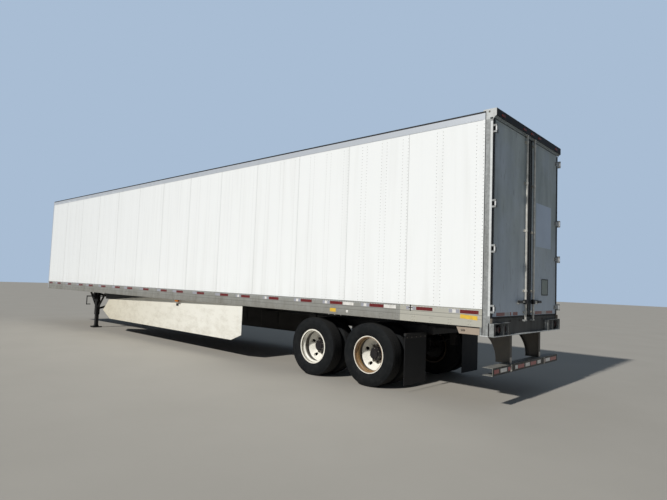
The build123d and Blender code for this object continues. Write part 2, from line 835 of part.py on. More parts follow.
def lock_rod(side):
    """Lock rod with its cams, guides on the door's face, and the handle folded outboard."""
    with BuildPart() as rod:
        with BuildSketch(level(rod_bottom)):
            with Locations((rod_x, side * ROD_Y)):
                Circle(ROD_R)
        extrude(amount=rod_top - rod_bottom)
        for low in (rod_bottom, rod_top - CAM_H):
            with BuildSketch(level(low)):
                with Locations((rod_x, side * ROD_Y)):
                    RectangleRounded(CAM_T, CAM_W, CAM_CORNER)
            extrude(amount=CAM_H)
        for guide_z in guide_zs:
            with BuildSketch(level(guide_z - GUIDE_H / 2)):
                with Locations((rod_x, side * ROD_Y)):
                    Circle(ROD_R + GUIDE_WALL)
                    Rectangle(ROD_STAND, 2 * (ROD_R + GUIDE_WALL), align=(Align.MIN, Align.CENTER))
                with Locations((face_x, side * ROD_Y)):
                    Rectangle(LEAF_T, GUIDE_W, align=(Align.MAX, Align.CENTER))
            extrude(amount=GUIDE_H)
        with BuildSketch(across(rod_x - HANDLE_T / 2)):
            with Locations((side * (ROD_Y + HANDLE_L / 2 - ROD_R), door_bottom + HANDLE_UP)):
                SlotOverall(HANDLE_L, HANDLE_H)
        extrude(amount=HANDLE_T)
        with BuildSketch(across(rod_x + HANDLE_T / 2)):
            with Locations((side * (ROD_Y + CATCH_OUT), door_bottom + HANDLE_UP)):
                Rectangle(CATCH_W, CATCH_H)
        extrude(amount=ROD_STAND - HANDLE_T / 2)
    return rod


for side_name, side in SIDES.items():
    save(rear_post(side), f"rear_post_{side_name}")
    save(door_panel(side), f"door_panel_{side_name}")
    save(hinge_straps(side), f"hinge_straps_{side_name}")
    save(lock_rod(side), f"lock_rod_{side_name}")

# Blank placard frame on the right door
with BuildPart() as placard_frame:
    with BuildSketch(across(face_x - PLACARD_T)):
        with Locations((-PLACARD_Y, door_bottom + PLACARD_UP)):
            RectangleRounded(PLACARD_W, PLACARD_H, PLACARD_CORNER)
    extrude(amount=PLACARD_T)
    with BuildSketch(across(face_x - PLACARD_T)):
        with Locations((-PLACARD_Y, door_bottom + PLACARD_UP)):
            RectangleRounded(PLACARD_W - 2 * PLACARD_RIM, PLACARD_H - 2 * PLACARD_RIM, PLACARD_CORNER / 2)
    extrude(amount=PLACARD_T / 2, mode=Mode.SUBTRACT)
save(placard_frame, "placard_frame")

# Header: box over the doors with a hood, round-cut cheeks and the rod keepers
keeper_in = CAM_W / 2 + KEEPER_CLEAR
with BuildPart() as rear_header:
    with BuildSketch(along(0)):
        with BuildLine():
            Polyline(
                (wall_rear, header_bottom),
                (stop_x, header_bottom),
                (stop_x, door_lintel),
                (face_x, door_lintel),
                (face_x, hood_bottom),
                (hood_back, hood_bottom),
                (hood_back, HEIGHT),
                (wall_rear, HEIGHT),
                close=True,
            )
        make_face()
    extrude(amount=side_y, both=True)
    for side in SIDES.values():
        cheek_top = header_bottom - CHEEK_TOP
        with BuildSketch(along(side * side_y)):
            with BuildLine():
                Line((face_x, cheek_top), (face_x, hood_bottom))
                Line((face_x, hood_bottom), (hood_back, hood_bottom))
                RadiusArc((hood_back, hood_bottom), (face_x, cheek_top), CHEEK_R)
            make_face()
        extrude(amount=side * CHEEK_T)
        with BuildSketch(level(door_lintel)):
            for inner in (-1, 1):
                with Locations((face_x, side * ROD_Y + inner * (keeper_in + KEEPER_T / 2))):
                    Rectangle(KEEPER_DEPTH, KEEPER_T, align=(Align.MAX, Align.CENTER))
        extrude(amount=HOOD_RISE)
save(rear_header, "rear_header")

# Sill: plate and step under the doors, lamp boxes at both ends, bottom lip and rod keepers
with BuildPart() as rear_sill:
    with BuildSketch(along(0)):
        with BuildLine():
            Polyline(
                (wall_rear, FLOOR_TOP),
                (stop_x, FLOOR_TOP),
                (stop_x, sill_step_z),
                (face_x, sill_step_z),
                (face_x, FRAME_BOTTOM),
                (face_x + SILL_PLATE_T, FRAME_BOTTOM),
                (face_x + SILL_PLATE_T, FLOOR_TOP - SILL_TOP_H),
                (wall_rear, FLOOR_TOP - SILL_TOP_H),
                close=True,
            )
        make_face()
    extrude(amount=stop_y, both=True)
    with BuildSketch(across(face_x)):
        with Locations((0, FRAME_BOTTOM)):
            Rectangle(2 * side_y, LAMP_BOX_H, align=(Align.CENTER, Align.MIN))
        with Locations((0, FRAME_BOTTOM + LIP_T)):
            Rectangle(2 * LAMP_BOX_IN, LAMP_BOX_H, align=(Align.CENTER, Align.MIN), mode=Mode.SUBTRACT)
        for low_y, high_y in LAMP_POCKETS:
            for side in SIDES.values():
                with Locations((side * (low_y + high_y) / 2, FRAME_BOTTOM + LAMP_BOX_H / 2)):
                    Rectangle(high_y - low_y, LAMP_BOX_H - 2 * LAMP_POCKET_MARGIN, mode=Mode.SUBTRACT)
    extrude(amount=rear_x - face_x)
    for side in SIDES.values():
        with BuildSketch(level(rod_bottom - LEAF_T)):
            for inner in (-1, 1):
                with Locations((face_x, side * ROD_Y + inner * (keeper_in + KEEPER_T / 2))):
                    Rectangle(KEEPER_DEPTH, KEEPER_T, align=(Align.MAX, Align.CENTER))
        extrude(amount=CAM_H + 2 * LEAF_T)
save(rear_sill, "rear_sill")

# Round tail lamps, seated on the back of the sill's pockets
with BuildPart() as tail_lamps:
    with BuildSketch(across(face_x)):
        for lamp_y in TAIL_LAMPS:
            with Locations((lamp_y, FRAME_BOTTOM + LAMP_BOX_H / 2), (-lamp_y, FRAME_BOTTOM + LAMP_BOX_H / 2)):
                Circle(TAIL_R)
    extrude(amount=-TAIL_T)
save(tail_lamps, "tail_lamps")

# Marker lamps on the header, and the side lamps hanging under the rails
with BuildPart() as marker_lamps:
    with BuildSketch(across(hood_back)):
        with Locations(*[(lamp_y, HEIGHT - MARKER_DOWN) for lamp_y in MARKER_Y]):
            RectangleRounded(MARKER_W, MARKER_H, 10)
    extrude(amount=-MARKER_T)
    with BuildSketch(along(side_y - GUSSET_INSET)):
        with Locations((SIDE_LAMP_X, rail_bottom)):
            Rectangle(SIDE_LAMP_W, SIDE_LAMP_H, align=(Align.CENTER, Align.MAX))
    extrude(amount=SIDE_LAMP_T)
    with BuildSketch(along(-side_y + GUSSET_INSET)):
        with Locations((SIDE_LAMP_X, rail_bottom)):
            Rectangle(SIDE_LAMP_W, SIDE_LAMP_H, align=(Align.CENTER, Align.MAX))
    extrude(amount=-SIDE_LAMP_T)
save(marker_lamps, "marker_lamps")

# Underride guard bar: a channel with its open side forward
bar_x = rear_x + BAR_BACK
with BuildPart() as guard_bar:
    with BuildSketch(along(0)):
        with Locations((bar_x, BAR_Z)):
            Rectangle(BAR_D, BAR_H, align=(Align.MIN, Align.MIN))
        with Locations((bar_x + BAR_T, BAR_Z + BAR_T)):
            Rectangle(BAR_D, BAR_H - 2 * BAR_T, align=(Align.MIN, Align.MIN), mode=Mode.SUBTRACT)
    extrude(amount=BAR_HALF, both=True)
save(guard_bar, "guard_bar")

# Guard struts: dished plates, wide at the top with a curved front edge
strut_x = rear_x + STRUT_BACK
strut_low = BAR_Z + BAR_H
strut_high = FRAME_BOTTOM
with BuildPart() as guard_struts:
    for side in SIDES.values():
        for inset, depth, start in ((0, STRUT_W, 0), (STRUT_T, STRUT_W, STRUT_T)):
            with BuildSketch(along(side * (STRUT_Y + STRUT_W / 2 - start))):
                with BuildLine():
                    rear_low = (strut_x + inset, strut_low + inset)
                    rear_high = (strut_x + inset, strut_high - inset)
                    front_high = (strut_x + STRUT_TOP_D - inset, strut_high - inset)
                    front_low = (strut_x + STRUT_BOTTOM_D - inset, strut_low + inset)
                    Polyline(front_low, rear_low, rear_high, front_high)
                    RadiusArc(front_low, front_high, (strut_high - strut_low) * 1.1)
                make_face()
            extrude(amount=side * depth, mode=Mode.SUBTRACT if inset else Mode.ADD)
save(guard_struts, "guard_struts")

# Slide rails under the crossmembers, with the row of lock holes in each web
slide_start = face_x + SILL_PLATE_T
hole_count = int((SLIDE_LENGTH - 2 * HOLE_PITCH) // HOLE_PITCH)
with BuildPart() as slide_rails:
    for side in SIDES.values():
        with BuildSketch(across(slide_start)):
            with Locations((side * SLIDE_Y, slide_bottom)):
                Rectangle(SLIDE_W, SLIDE_T, align=(Align.CENTER, Align.MIN))
                Rectangle(SLIDE_WEB_T, SLIDE_H, align=(Align.CENTER, Align.MIN))
            with Locations((side * SLIDE_Y, slide_top)):
                Rectangle(SLIDE_W, SLIDE_T, align=(Align.CENTER, Align.MAX))
        extrude(amount=SLIDE_LENGTH)
    with BuildSketch(along(0)):
        with Locations(*[(slide_start + HOLE_PITCH * (i + 1.5), hole_z) for i in range(hole_count)]):
            Circle(HOLE_R)
    extrude(amount=side_y, both=True, mode=Mode.SUBTRACT)
save(slide_rails, "slide_rails")

# Slider frame: two box rails, cross tubes, pin brackets and hold-down clips round the slide flange
with BuildPart() as slider_frame:
    with BuildSketch(level(slider_bottom)):
        with Locations((tandem_x, SLIDE_Y), (tandem_x, -SLIDE_Y)):
            Rectangle(2 * SLIDER_HALF_L, SLIDER_W)
    extrude(amount=SLIDER_H)
    with BuildSketch(level(slider_bottom)):
        with Locations(*[(tandem_x + offset_x, 0) for offset_x in SLIDER_CROSS]):
            Rectangle(CROSS_W, 2 * SLIDE_Y)
    extrude(amount=CROSS_H)
    clip_in = SLIDE_W / 2 + CLIP_CLEAR
    clip_up = slide_bottom + SLIDE_T + CLIP_CLEAR
    for side in SIDES.values():
        for offset_x in CLIP_X:
            with BuildSketch(across(tandem_x + offset_x - CLIP_L / 2)):
                with BuildLine():
                    Polyline(
                        (side * (SLIDE_Y + SLIDER_W / 2), slider_top - CLIP_L / 2),
                        (side * (SLIDE_Y + clip_in + CLIP_T), slider_top - CLIP_L / 2),
                        (side * (SLIDE_Y + clip_in + CLIP_T), clip_up + CLIP_T),
                        (side * (SLIDE_Y + clip_in - 3 * CLIP_CLEAR), clip_up + CLIP_T),
                        (side * (SLIDE_Y + clip_in - 3 * CLIP_CLEAR), clip_up),
                        (side * (SLIDE_Y + clip_in), clip_up),
                        (side * (SLIDE_Y + clip_in), slider_top - CLIP_CLEAR),
                        (side * (SLIDE_Y + SLIDER_W / 2), slider_top - CLIP_CLEAR),
                        close=True,
                    )
                make_face()
            extrude(amount=CLIP_L)
save(slider_frame, "slider_frame")

# Locking pins of the slider with their brackets, drawn back from the slide rail's web
lock_tip = SLIDE_Y - SLIDE_WEB_T / 2 - LOCK_SHORT
lock_plate = SLIDE_Y - SLIDE_W / 2 - CLIP_CLEAR
with BuildPart() as lock_pins:
    for side in SIDES.values():
        for offset_x in LOCK_X:
            with BuildSketch(along(side * lock_plate)):
                with Locations((tandem_x + offset_x, slider_top - SLIDER_H / 2)):
                    Rectangle(5 * LOCK_R, hole_z + 2 * LOCK_R - slider_top + SLIDER_H / 2,
                              align=(Align.CENTER, Align.MIN))
            extrude(amount=side * CLIP_T)
            with BuildSketch(along(side * lock_tip)):
                with Locations((tandem_x + offset_x, hole_z)):
                    Circle(LOCK_R)
            extrude(amount=side * LOCK_L)
            with BuildSketch(along(side * (SLIDE_Y - SLIDER_W / 2))):
                with Locations((tandem_x + offset_x, slider_top - SLIDER_H / 2)):
                    Rectangle(5 * LOCK_R, SLIDER_H / 4, align=(Align.CENTER, Align.MIN))
            extrude(amount=side * (SLIDE_W / 2 + CLIP_CLEAR - SLIDER_W / 2))
save(lock_pins, "lock_pins")

# Leaf springs: stepped leaves on one arc, resting on the axle seats
seat_top = AXLE_Z + AXLE_R + SEAT_T
spring_top = seat_top + LEAF_COUNT * LEAF_THICK


def spring_end(leaf, upper):
    """Height above the ground of one leaf's end, at its upper or lower face."""
    radius = SPRING_R + (0 if upper else LEAF_THICK) + leaf * LEAF_THICK
    centre_z = spring_top + SPRING_R
    return centre_z - radius * cos(asin(LEAF_REACH[leaf] / radius))


with BuildPart() as leaf_springs:
    for axle_x in axle_xs.values():
        for side in SIDES.values():
            with BuildSketch(along(side * (SLIDE_Y + SPRING_W / 2))):
                for leaf in range(LEAF_COUNT):
                    inner_r = SPRING_R + leaf * LEAF_THICK
                    outer_r = inner_r + LEAF_THICK
                    turn = degrees(asin(LEAF_REACH[leaf] / inner_r))
                    with BuildLine():
                        middle = (axle_x, spring_top + SPRING_R)
                        top_arc = CenterArc(middle, inner_r, 270 - turn, 2 * turn)
                        low_arc = CenterArc(middle, outer_r, 270 - turn, 2 * turn)
                        Line(top_arc @ 0, low_arc @ 0)
                        Line(top_arc @ 1, low_arc @ 1)
                    make_face()
            extrude(amount=side * SPRING_W)
save(leaf_springs, "leaf_springs")

# Spring clamps: top plate, lower plate and four bolts round each axle
clamp_low = AXLE_Z - AXLE_R
clamp_top = spring_top + SPRING_R - sqrt(SPRING_R**2 - CLAMP_HALF**2) + SEAT_GAP
with BuildPart() as spring_clamps:
    for axle_x in axle_xs.values():
        for side in SIDES.values():
            for low in (clamp_top, clamp_low - CLAMP_T):
                with BuildSketch(level(low)):
                    with Locations((axle_x, side * SLIDE_Y)):
                        Rectangle(2 * CLAMP_HALF, 2 * (UBOLT_Y + UBOLT_R + 3))
                extrude(amount=CLAMP_T)
            with BuildSketch(level(clamp_low - CLAMP_T)):
                with Locations((axle_x, side * SLIDE_Y)):
                    with GridLocations(2 * UBOLT_X, 2 * UBOLT_Y, 2, 2):
                        Circle(UBOLT_R)
            extrude(amount=clamp_top - clamp_low + 3 * CLAMP_T)
save(spring_clamps, "spring_clamps")

# Spring hangers under the slider rails: two side plates, a cam block or equaliser over the spring ends
# with its pivot, and the bolt of the torque rod
cam_z = spring_end(0, True) + SEAT_GAP
torque_z = slider_bottom - HANGER_DROP + TORQUE_UP
plate_in = SPRING_W / 2 + HANGER_SIDE_GAP
with BuildPart() as spring_hangers:
    for side in SIDES.values():
        for offset_x, half in ((-HANGER_OUT, HANGER_L / 2), (0, EQUALISER_L / 2), (HANGER_OUT, HANGER_L / 2)):
            for edge in (-plate_in - HANGER_PLATE_T, plate_in):
                with BuildSketch(along(side * SLIDE_Y + edge + HANGER_PLATE_T)):
                    with BuildLine():
                        Polyline(
                            (tandem_x + offset_x - half, slider_bottom),
                            (tandem_x + offset_x + half, slider_bottom),
                            (tandem_x + offset_x + half * HANGER_TAPER, slider_bottom - HANGER_DROP),
                            (tandem_x + offset_x - half * HANGER_TAPER, slider_bottom - HANGER_DROP),
                            close=True,
                        )
                    make_face()
                extrude(amount=HANGER_PLATE_T)
            with BuildSketch(along(side * SLIDE_Y + plate_in)):
                with BuildLine():
                    Polyline(
                        (tandem_x + offset_x - half * EQUALISER_TAPER, cam_z + EQUALISER_H),
                        (tandem_x + offset_x + half * EQUALISER_TAPER, cam_z + EQUALISER_H),
                        (tandem_x + offset_x + half * HANGER_TAPER, cam_z),
                        (tandem_x + offset_x - half * HANGER_TAPER, cam_z),
                        close=True,
                    )
                make_face()
            extrude(amount=2 * plate_in)
            bolt_out = plate_in + 2 * HANGER_PLATE_T
            with BuildSketch(along(side * SLIDE_Y + bolt_out)):
                with Locations((tandem_x + offset_x, torque_z)):
                    Circle(TORQUE_BOLT_R)
                with Locations((tandem_x + offset_x, cam_z + EQUALISER_H / 2)):
                    Circle(PIVOT_R)
            extrude(amount=2 * bolt_out)
save(spring_hangers, "spring_hangers")

# Axles: tube, spring seats, brake shields and the spindles that the hubs turn on
with BuildPart() as axles:
    for axle_x in axle_xs.values():
        with BuildSketch(along(0)):
            with Locations((axle_x, AXLE_Z)):
                Circle(AXLE_R)
        extrude(amount=TUBE_END, both=True)
        with BuildSketch(along(0)):
            with Locations((axle_x, AXLE_Z)):
                Circle(SPINDLE_R)
        extrude(amount=SPINDLE_END, both=True)
        for side in SIDES.values():
            with BuildSketch(along(side * TUBE_END)):
                with Locations((axle_x, AXLE_Z)):
                    Circle(SHIELD_R)
            extrude(amount=side * SHIELD_T)
            with BuildSketch(along(side * (SLIDE_Y + SPRING_W / 2))):
                with Locations((axle_x, AXLE_Z)):
                    Rectangle(2 * SEAT_HALF, AXLE_R + SEAT_T, align=(Align.CENTER, Align.MIN))
            extrude(amount=side * SPRING_W)
            lug_in = TORQUE_EYE_W / 2 + HANGER_SIDE_GAP
            for edge in (-lug_in, lug_in + TORQUE_LUG_T):
                with BuildSketch(along(side * SLIDE_Y + edge)):
                    with Locations((axle_x, AXLE_Z)):
                        Rectangle(TORQUE_REACH, TORQUE_LUG_H, align=(Align.MIN, Align.CENTER))
                    with Locations((axle_x + TORQUE_REACH, AXLE_Z)):
                        Circle(TORQUE_LUG_H / 2)
                extrude(amount=TORQUE_LUG_T)
            with BuildSketch(along(side * SLIDE_Y + lug_in + TORQUE_LUG_T)):
                with Locations((axle_x + TORQUE_REACH, AXLE_Z)):
                    Circle(TORQUE_BOLT_R)
            extrude(amount=2 * (lug_in + TORQUE_LUG_T))
save(axles, "axles")

# Torque rods: from the hanger ahead of each axle back to the lugs on its seats
with BuildPart() as torque_rods:
    for axle_x, hanger_x in ((axle_xs["front"], tandem_x + HANGER_OUT), (axle_xs["rear"], tandem_x)):
        for side in SIDES.values():
            eyes = ((hanger_x, torque_z), (axle_x + TORQUE_REACH, AXLE_Z))
            with BuildSketch(along(side * SLIDE_Y + TORQUE_EYE_W / 2)):
                with Locations(*eyes):
                    Circle(TORQUE_EYE_R)
            extrude(amount=TORQUE_EYE_W)
            start = Vector(eyes[0][0], side * SLIDE_Y, eyes[0][1])
            run = Vector(eyes[1][0], side * SLIDE_Y, eyes[1][1]) - start
            with BuildSketch(Plane(origin=start, x_dir=(0, 1, 0), z_dir=run)):
                Circle(TORQUE_ROD_R)
            extrude(amount=run.length)
            with BuildSketch(along(side * SLIDE_Y + TORQUE_EYE_W / 2)):
                with Locations(*eyes):
                    Circle(TORQUE_BOLT_R + TORQUE_FIT)
            extrude(amount=TORQUE_EYE_W, mode=Mode.SUBTRACT)
save(torque_rods, "torque_rods")

# Brakes: chamber on its bracket, push rod, slack adjuster and the camshaft tube out to the shield
with BuildPart() as brake_chambers:
    for axle_x in axle_xs.values():
        for side in SIDES.values():
            chamber_x = axle_x + CHAMBER_FWD
            chamber_z = AXLE_Z + CHAMBER_UP
            cam_x = axle_x - CAMSHAFT_BACK
            with BuildSketch(along(side * CHAMBER_Y)):
                with BuildLine():
                    Polyline(
                        (axle_x - BRACKET_R, AXLE_Z),
                        (axle_x + BRACKET_R, AXLE_Z - AXLE_R),
                        (chamber_x + BRACKET_T, chamber_z - CHAMBER_R),
                        (chamber_x + BRACKET_T, chamber_z + CHAMBER_R / 2),
                        (chamber_x - BRACKET_T, chamber_z + CHAMBER_R / 2),
                        close=True,
                    )
                make_face()
                with Locations((axle_x, AXLE_Z)):
                    Circle(BRACKET_R)
                    Circle(AXLE_R + SEAT_GAP, mode=Mode.SUBTRACT)
            extrude(amount=BRACKET_T / 2, both=True)
            with BuildSketch(across(chamber_x)):
                with Locations((side * CHAMBER_Y, chamber_z)):
                    Circle(CHAMBER_R)
            extrude(amount=CHAMBER_L)
            with BuildSketch(across(cam_x)):
                with Locations((side * CHAMBER_Y, chamber_z)):
                    Circle(PUSHROD_R)
            extrude(amount=chamber_x - cam_x)
            with BuildSketch(along(side * CHAMBER_Y)):
                with Locations((cam_x, AXLE_Z - SLACK_W)):
                    Rectangle(SLACK_W, CHAMBER_UP + 2 * SLACK_W, align=(Align.CENTER, Align.MIN))
                with Locations((cam_x, AXLE_Z)):
                    Circle(SLACK_W)
            extrude(amount=SLACK_T / 2, both=True)
            with BuildSketch(along(side * (CHAMBER_Y - CAMSHAFT_IN))):
                with Locations((cam_x, AXLE_Z)):
                    Circle(CAMSHAFT_R)
            extrude(amount=-side * (TUBE_END - SHIELD_T - CHAMBER_Y + CAMSHAFT_IN))
            with BuildSketch(along(side * (CHAMBER_Y + CAM_BRACKET_OUT))):
                with Locations((cam_x, AXLE_Z)):
                    Circle(2 * CAMSHAFT_R)
                    Rectangle(CAMSHAFT_BACK, 2 * CAMSHAFT_R, align=(Align.MIN, Align.CENTER))
                with Locations((axle_x, AXLE_Z)):
                    Circle(BRACKET_R)
                    Circle(AXLE_R + SEAT_GAP, mode=Mode.SUBTRACT)
            extrude(amount=BRACKET_T / 2, both=True)
save(brake_chambers, "brake_chambers")

# Air tank slung under the middle cross tubes of the slider
tank_z = slider_bottom - TANK_R - BRACKET_T
with BuildPart() as air_tank:
    with BuildSketch(across(tandem_x)):
        with Locations((0, tank_z)):
            Circle(TANK_R)
    extrude(amount=TANK_L / 2, both=True)
    fillet(air_tank.edges().filter_by(GeomType.CIRCLE), TANK_R * 0.35)
    with BuildSketch(level(tank_z)):
        for offset_x in SLIDER_CROSS[1:3]:
            with Locations((tandem_x + offset_x, 0)):
                Rectangle(TANK_SADDLE, TANK_R)
    extrude(amount=slider_bottom - tank_z)
save(air_tank, "air_tank")

# Mud flaps, and the arms that carry them from the slider rails
flap_x = tandem_x - FLAP_X
with BuildPart() as mud_flaps:
    with BuildSketch(across(flap_x - FLAP_T / 2)):
        for side in SIDES.values():
            with Locations((side * (FLAP_IN + FLAP_OUT) / 2, FLAP_BOTTOM)):
                Rectangle(FLAP_OUT - FLAP_IN, slider_bottom - FLAP_BOTTOM, align=(Align.CENTER, Align.MIN))
    extrude(amount=FLAP_T)
save(mud_flaps, "mud_flaps")

with BuildPart() as flap_arms:
    for side in SIDES.values():
        with BuildSketch(along(side * (SLIDE_Y + SLIDER_W / 2))):
            with Locations((flap_x, slider_bottom)):
                Rectangle(ARM_H, ARM_H, align=(Align.CENTER, Align.MIN))
        extrude(amount=-side * (FLAP_OUT - SLIDE_Y - SLIDER_W / 2))
save(flap_arms, "flap_arms")

# Tyre section, in distance from the tyre's middle and radius
TYRE_SECTION = (
    (BEAD_HALF_W, RIM_R + RIM_GAP),
    (BEAD_HALF_W, RIM_FLANGE_R + 2),
    (TYRE_HALF_W, 392.0),
    (TYRE_HALF_W - 8, 462.0),
    (TREAD_HALF_W, TYRE_R - CROWN),
)


def tyre_pair(axle_x, side):
    """Twin tyres of one wheel end."""
    with BuildPart() as pair:
        with BuildSketch(across(axle_x)):
            for place in (-1, 1):
                mid = side * (TRACK_HALF + place * DUAL_SPACING / 2)
                right = [(mid + half, AXLE_Z + radius) for half, radius in TYRE_SECTION]
                left = [(mid - half, AXLE_Z + radius) for half, radius in TYRE_SECTION]
                with BuildLine():
                    Line(left[0], right[0])
                    Line(right[0], right[1])
                    right_wall = ThreePointArc(right[1], right[2], right[3])
                    TangentArc(right[3], right[4], tangent=right_wall % 1)
                    ThreePointArc(right[4], (mid, AXLE_Z + TYRE_R), left[4])
                    left_wall = ThreePointArc(left[1], left[2], left[3])
                    TangentArc(left[3], left[4], tangent=left_wall % 1)
                    Line(left[1], left[0])
                make_face()
        revolve(axis=Axis((axle_x, 0, AXLE_Z), (0, 1, 0)))
    return pair


def rim_pair(axle_x, side):
    """Twin disc wheels, their discs back to back at the hub's flange."""
    with BuildPart() as pair:
        with BuildSketch(across(axle_x)):
            for place in (-1, 1):
                out = side * place
                mid = side * (TRACK_HALF + place * DUAL_SPACING / 2)
                disc = DUAL_SPACING / 2 - RIM_GAP
                barrel_in = RIM_R - RIM_T
                section = (
                    (RIM_HALF_W, RIM_FLANGE_R),
                    (RIM_HALF_W - RIM_FLANGE_T, RIM_FLANGE_R),
                    (RIM_HALF_W - RIM_FLANGE_T, RIM_R),
                    (-RIM_HALF_W + RIM_FLANGE_T, RIM_R),
                    (-RIM_HALF_W + RIM_FLANGE_T, RIM_FLANGE_R),
                    (-RIM_HALF_W, RIM_FLANGE_R),
                    (-RIM_HALF_W, barrel_in),
                    (-RIM_HALF_W, barrel_in - DISC_T / 2),
                    (-disc, DISC_FACE_R),
                    (-disc, DISC_HOLE_R),
                    (-disc + DISC_T, DISC_HOLE_R),
                    (-disc + DISC_T, DISC_FACE_R - DISC_T / 2),
                    (-DISC_START - DISC_T, barrel_in - 2 * DISC_T),
                    (-DISC_START, barrel_in),
                    (RIM_HALF_W, barrel_in),
                )
                with BuildLine():
                    Polyline(*[(mid + out * a, AXLE_Z + r) for a, r in section], close=True)
                make_face()
        revolve(axis=Axis((axle_x, 0, AXLE_Z), (0, 1, 0)))
        with BuildSketch(along(side * (TRACK_HALF - DUAL_SPACING / 2))):
            with Locations((axle_x, AXLE_Z)):
                with PolarLocations(HAND_HOLE_PCR, HAND_HOLES, start_angle=90):
                    Circle(HAND_HOLE_R)
        extrude(amount=-side * DUAL_SPACING, mode=Mode.SUBTRACT)
    return pair


def hub_and_drum(axle_x, side):
    """Hub turning on the spindle, with the brake drum behind its flange."""
    flange_out = TRACK_HALF - RIM_GAP - DISC_T - RIM_GAP
    bore = SPINDLE_R + BORE_FIT
    section = (
        (HUB_INNER, bore),
        (HUB_INNER, HUB_INNER_R),
        (DRUM_END - DRUM_T, HUB_INNER_R),
        (DRUM_END - DRUM_T, DRUM_R - DRUM_T),
        (HUB_INNER, DRUM_R - DRUM_T),
        (HUB_INNER, DRUM_R),
        (DRUM_END - DRUM_T, DRUM_R),
        (DRUM_END, DRUM_R - DRUM_T),
        (DRUM_END, HUB_FLANGE_R),
        (flange_out, HUB_FLANGE_R),
        (flange_out, HUB_R),
        (HUB_END, HUB_R * 0.92),
        (HUB_END, CAP_R),
        (CAP_END, CAP_R * 0.9),
        (CAP_END, 0),
        (SPINDLE_END + 5, 0),
        (SPINDLE_END + 5, bore),
    )
    with BuildPart() as hub:
        with BuildSketch(across(axle_x)):
            with BuildLine():
                Polyline(*[(side * a, AXLE_Z + r) for a, r in section], close=True)
            make_face()
        revolve(axis=Axis((axle_x, 0, AXLE_Z), (0, 1, 0)))
    return hub


for axle_name, axle_x in axle_xs.items():
    for side_name, side in SIDES.items():
        save(tyre_pair(axle_x, side), f"tyres_{axle_name}_{side_name}")
        save(rim_pair(axle_x, side), f"rims_{axle_name}_{side_name}")
        save(hub_and_drum(axle_x, side), f"hub_{axle_name}_{side_name}")

# Landing legs: outer tube with the inner tube run out below it, mounting wings, and the gearbox
leg_x = beam_near(kingpin_x - LEGS_BEHIND_PIN)
foot_top = FOOT_T + FOOT_LUG_H
wing_out = LEG_Y + LEG_OUTER / 2 + WING_T
with BuildPart() as landing_legs:
    for side in SIDES.values():
        with BuildSketch(level(LEG_OUTER_BOTTOM)):
            with Locations((leg_x, side * LEG_Y)):
                RectangleRounded(LEG_OUTER, LEG_OUTER, 10)
        extrude(amount=leg_top - LEG_OUTER_BOTTOM)
        with BuildSketch(level(foot_top)):
            with Locations((leg_x, side * LEG_Y)):
                RectangleRounded(LEG_INNER, LEG_INNER, 8)
        extrude(amount=LEG_OUTER_BOTTOM - foot_top)
        with BuildSketch(along(side * (LEG_Y + LEG_OUTER / 2))):
            with Locations((leg_x, leg_top)):
                Rectangle(WING_W, WING_H, align=(Align.CENTER, Align.MAX))
        extrude(amount=-side * WING_T)
    with BuildSketch(along(wing_out)):
        with Locations((leg_x, shaft_z)):
            RectangleRounded(GEARBOX_W, GEARBOX_H, GEARBOX_CORNER)
    extrude(amount=-GEARBOX_D)
save(landing_legs, "landing_legs")

# Feet: plate with turned-up edges and the lug block under each leg
foot_half = FOOT_W / 2
with BuildPart() as landing_feet:
    for side in SIDES.values():
        with BuildSketch(along(side * LEG_Y)):
            with BuildLine():
                Polyline(
                    (leg_x - foot_half, FOOT_TURN),
                    (leg_x - foot_half + FOOT_TIP, 0),
                    (leg_x + foot_half - FOOT_TIP, 0),
                    (leg_x + foot_half, FOOT_TURN),
                    (leg_x + foot_half, FOOT_TURN + FOOT_T),
                    (leg_x + foot_half - FOOT_TIP, FOOT_T),
                    (leg_x - foot_half + FOOT_TIP, FOOT_T),
                    (leg_x - foot_half, FOOT_TURN + FOOT_T),
                    close=True,
                )
            make_face()
        extrude(amount=foot_half, both=True)
        with BuildSketch(level(FOOT_T)):
            with Locations((leg_x, side * LEG_Y)):
                Rectangle(FOOT_LUG_W, FOOT_LUG_W)
        extrude(amount=FOOT_LUG_H)
save(landing_feet, "landing_feet")


# Braces: fore and aft from each leg to the crossmembers, and a crossed pair between the legs
leg_in = LEG_Y - LEG_OUTER / 2
cross_x = SHAFT_R + BRACE_T
brace_reach = BRACE_BAYS * BEAM_PITCH
along_size = (BRACE_W, BRACE_T)
cross_size = (BRACE_T, BRACE_W)
BRACES = (
    # start: x, y; end: x, y; below the leg's top; direction of the first width; widths
    (leg_x, LEG_Y, leg_x + brace_reach, LEG_Y, -BRACE_W, (0, 1, 0), along_size),
    (leg_x, LEG_Y, leg_x - brace_reach, LEG_Y, -BRACE_W, (0, 1, 0), along_size),
    (leg_x, -LEG_Y, leg_x + brace_reach, -LEG_Y, -BRACE_W, (0, 1, 0), along_size),
    (leg_x, -LEG_Y, leg_x - brace_reach, -LEG_Y, -BRACE_W, (0, 1, 0), along_size),
    (leg_x + cross_x, LEG_Y, leg_x + cross_x, -LEG_Y, BRACE_W, (1, 0, 0), cross_size),
    (leg_x - cross_x, -LEG_Y, leg_x - cross_x, LEG_Y, BRACE_W, (1, 0, 0), cross_size),
)
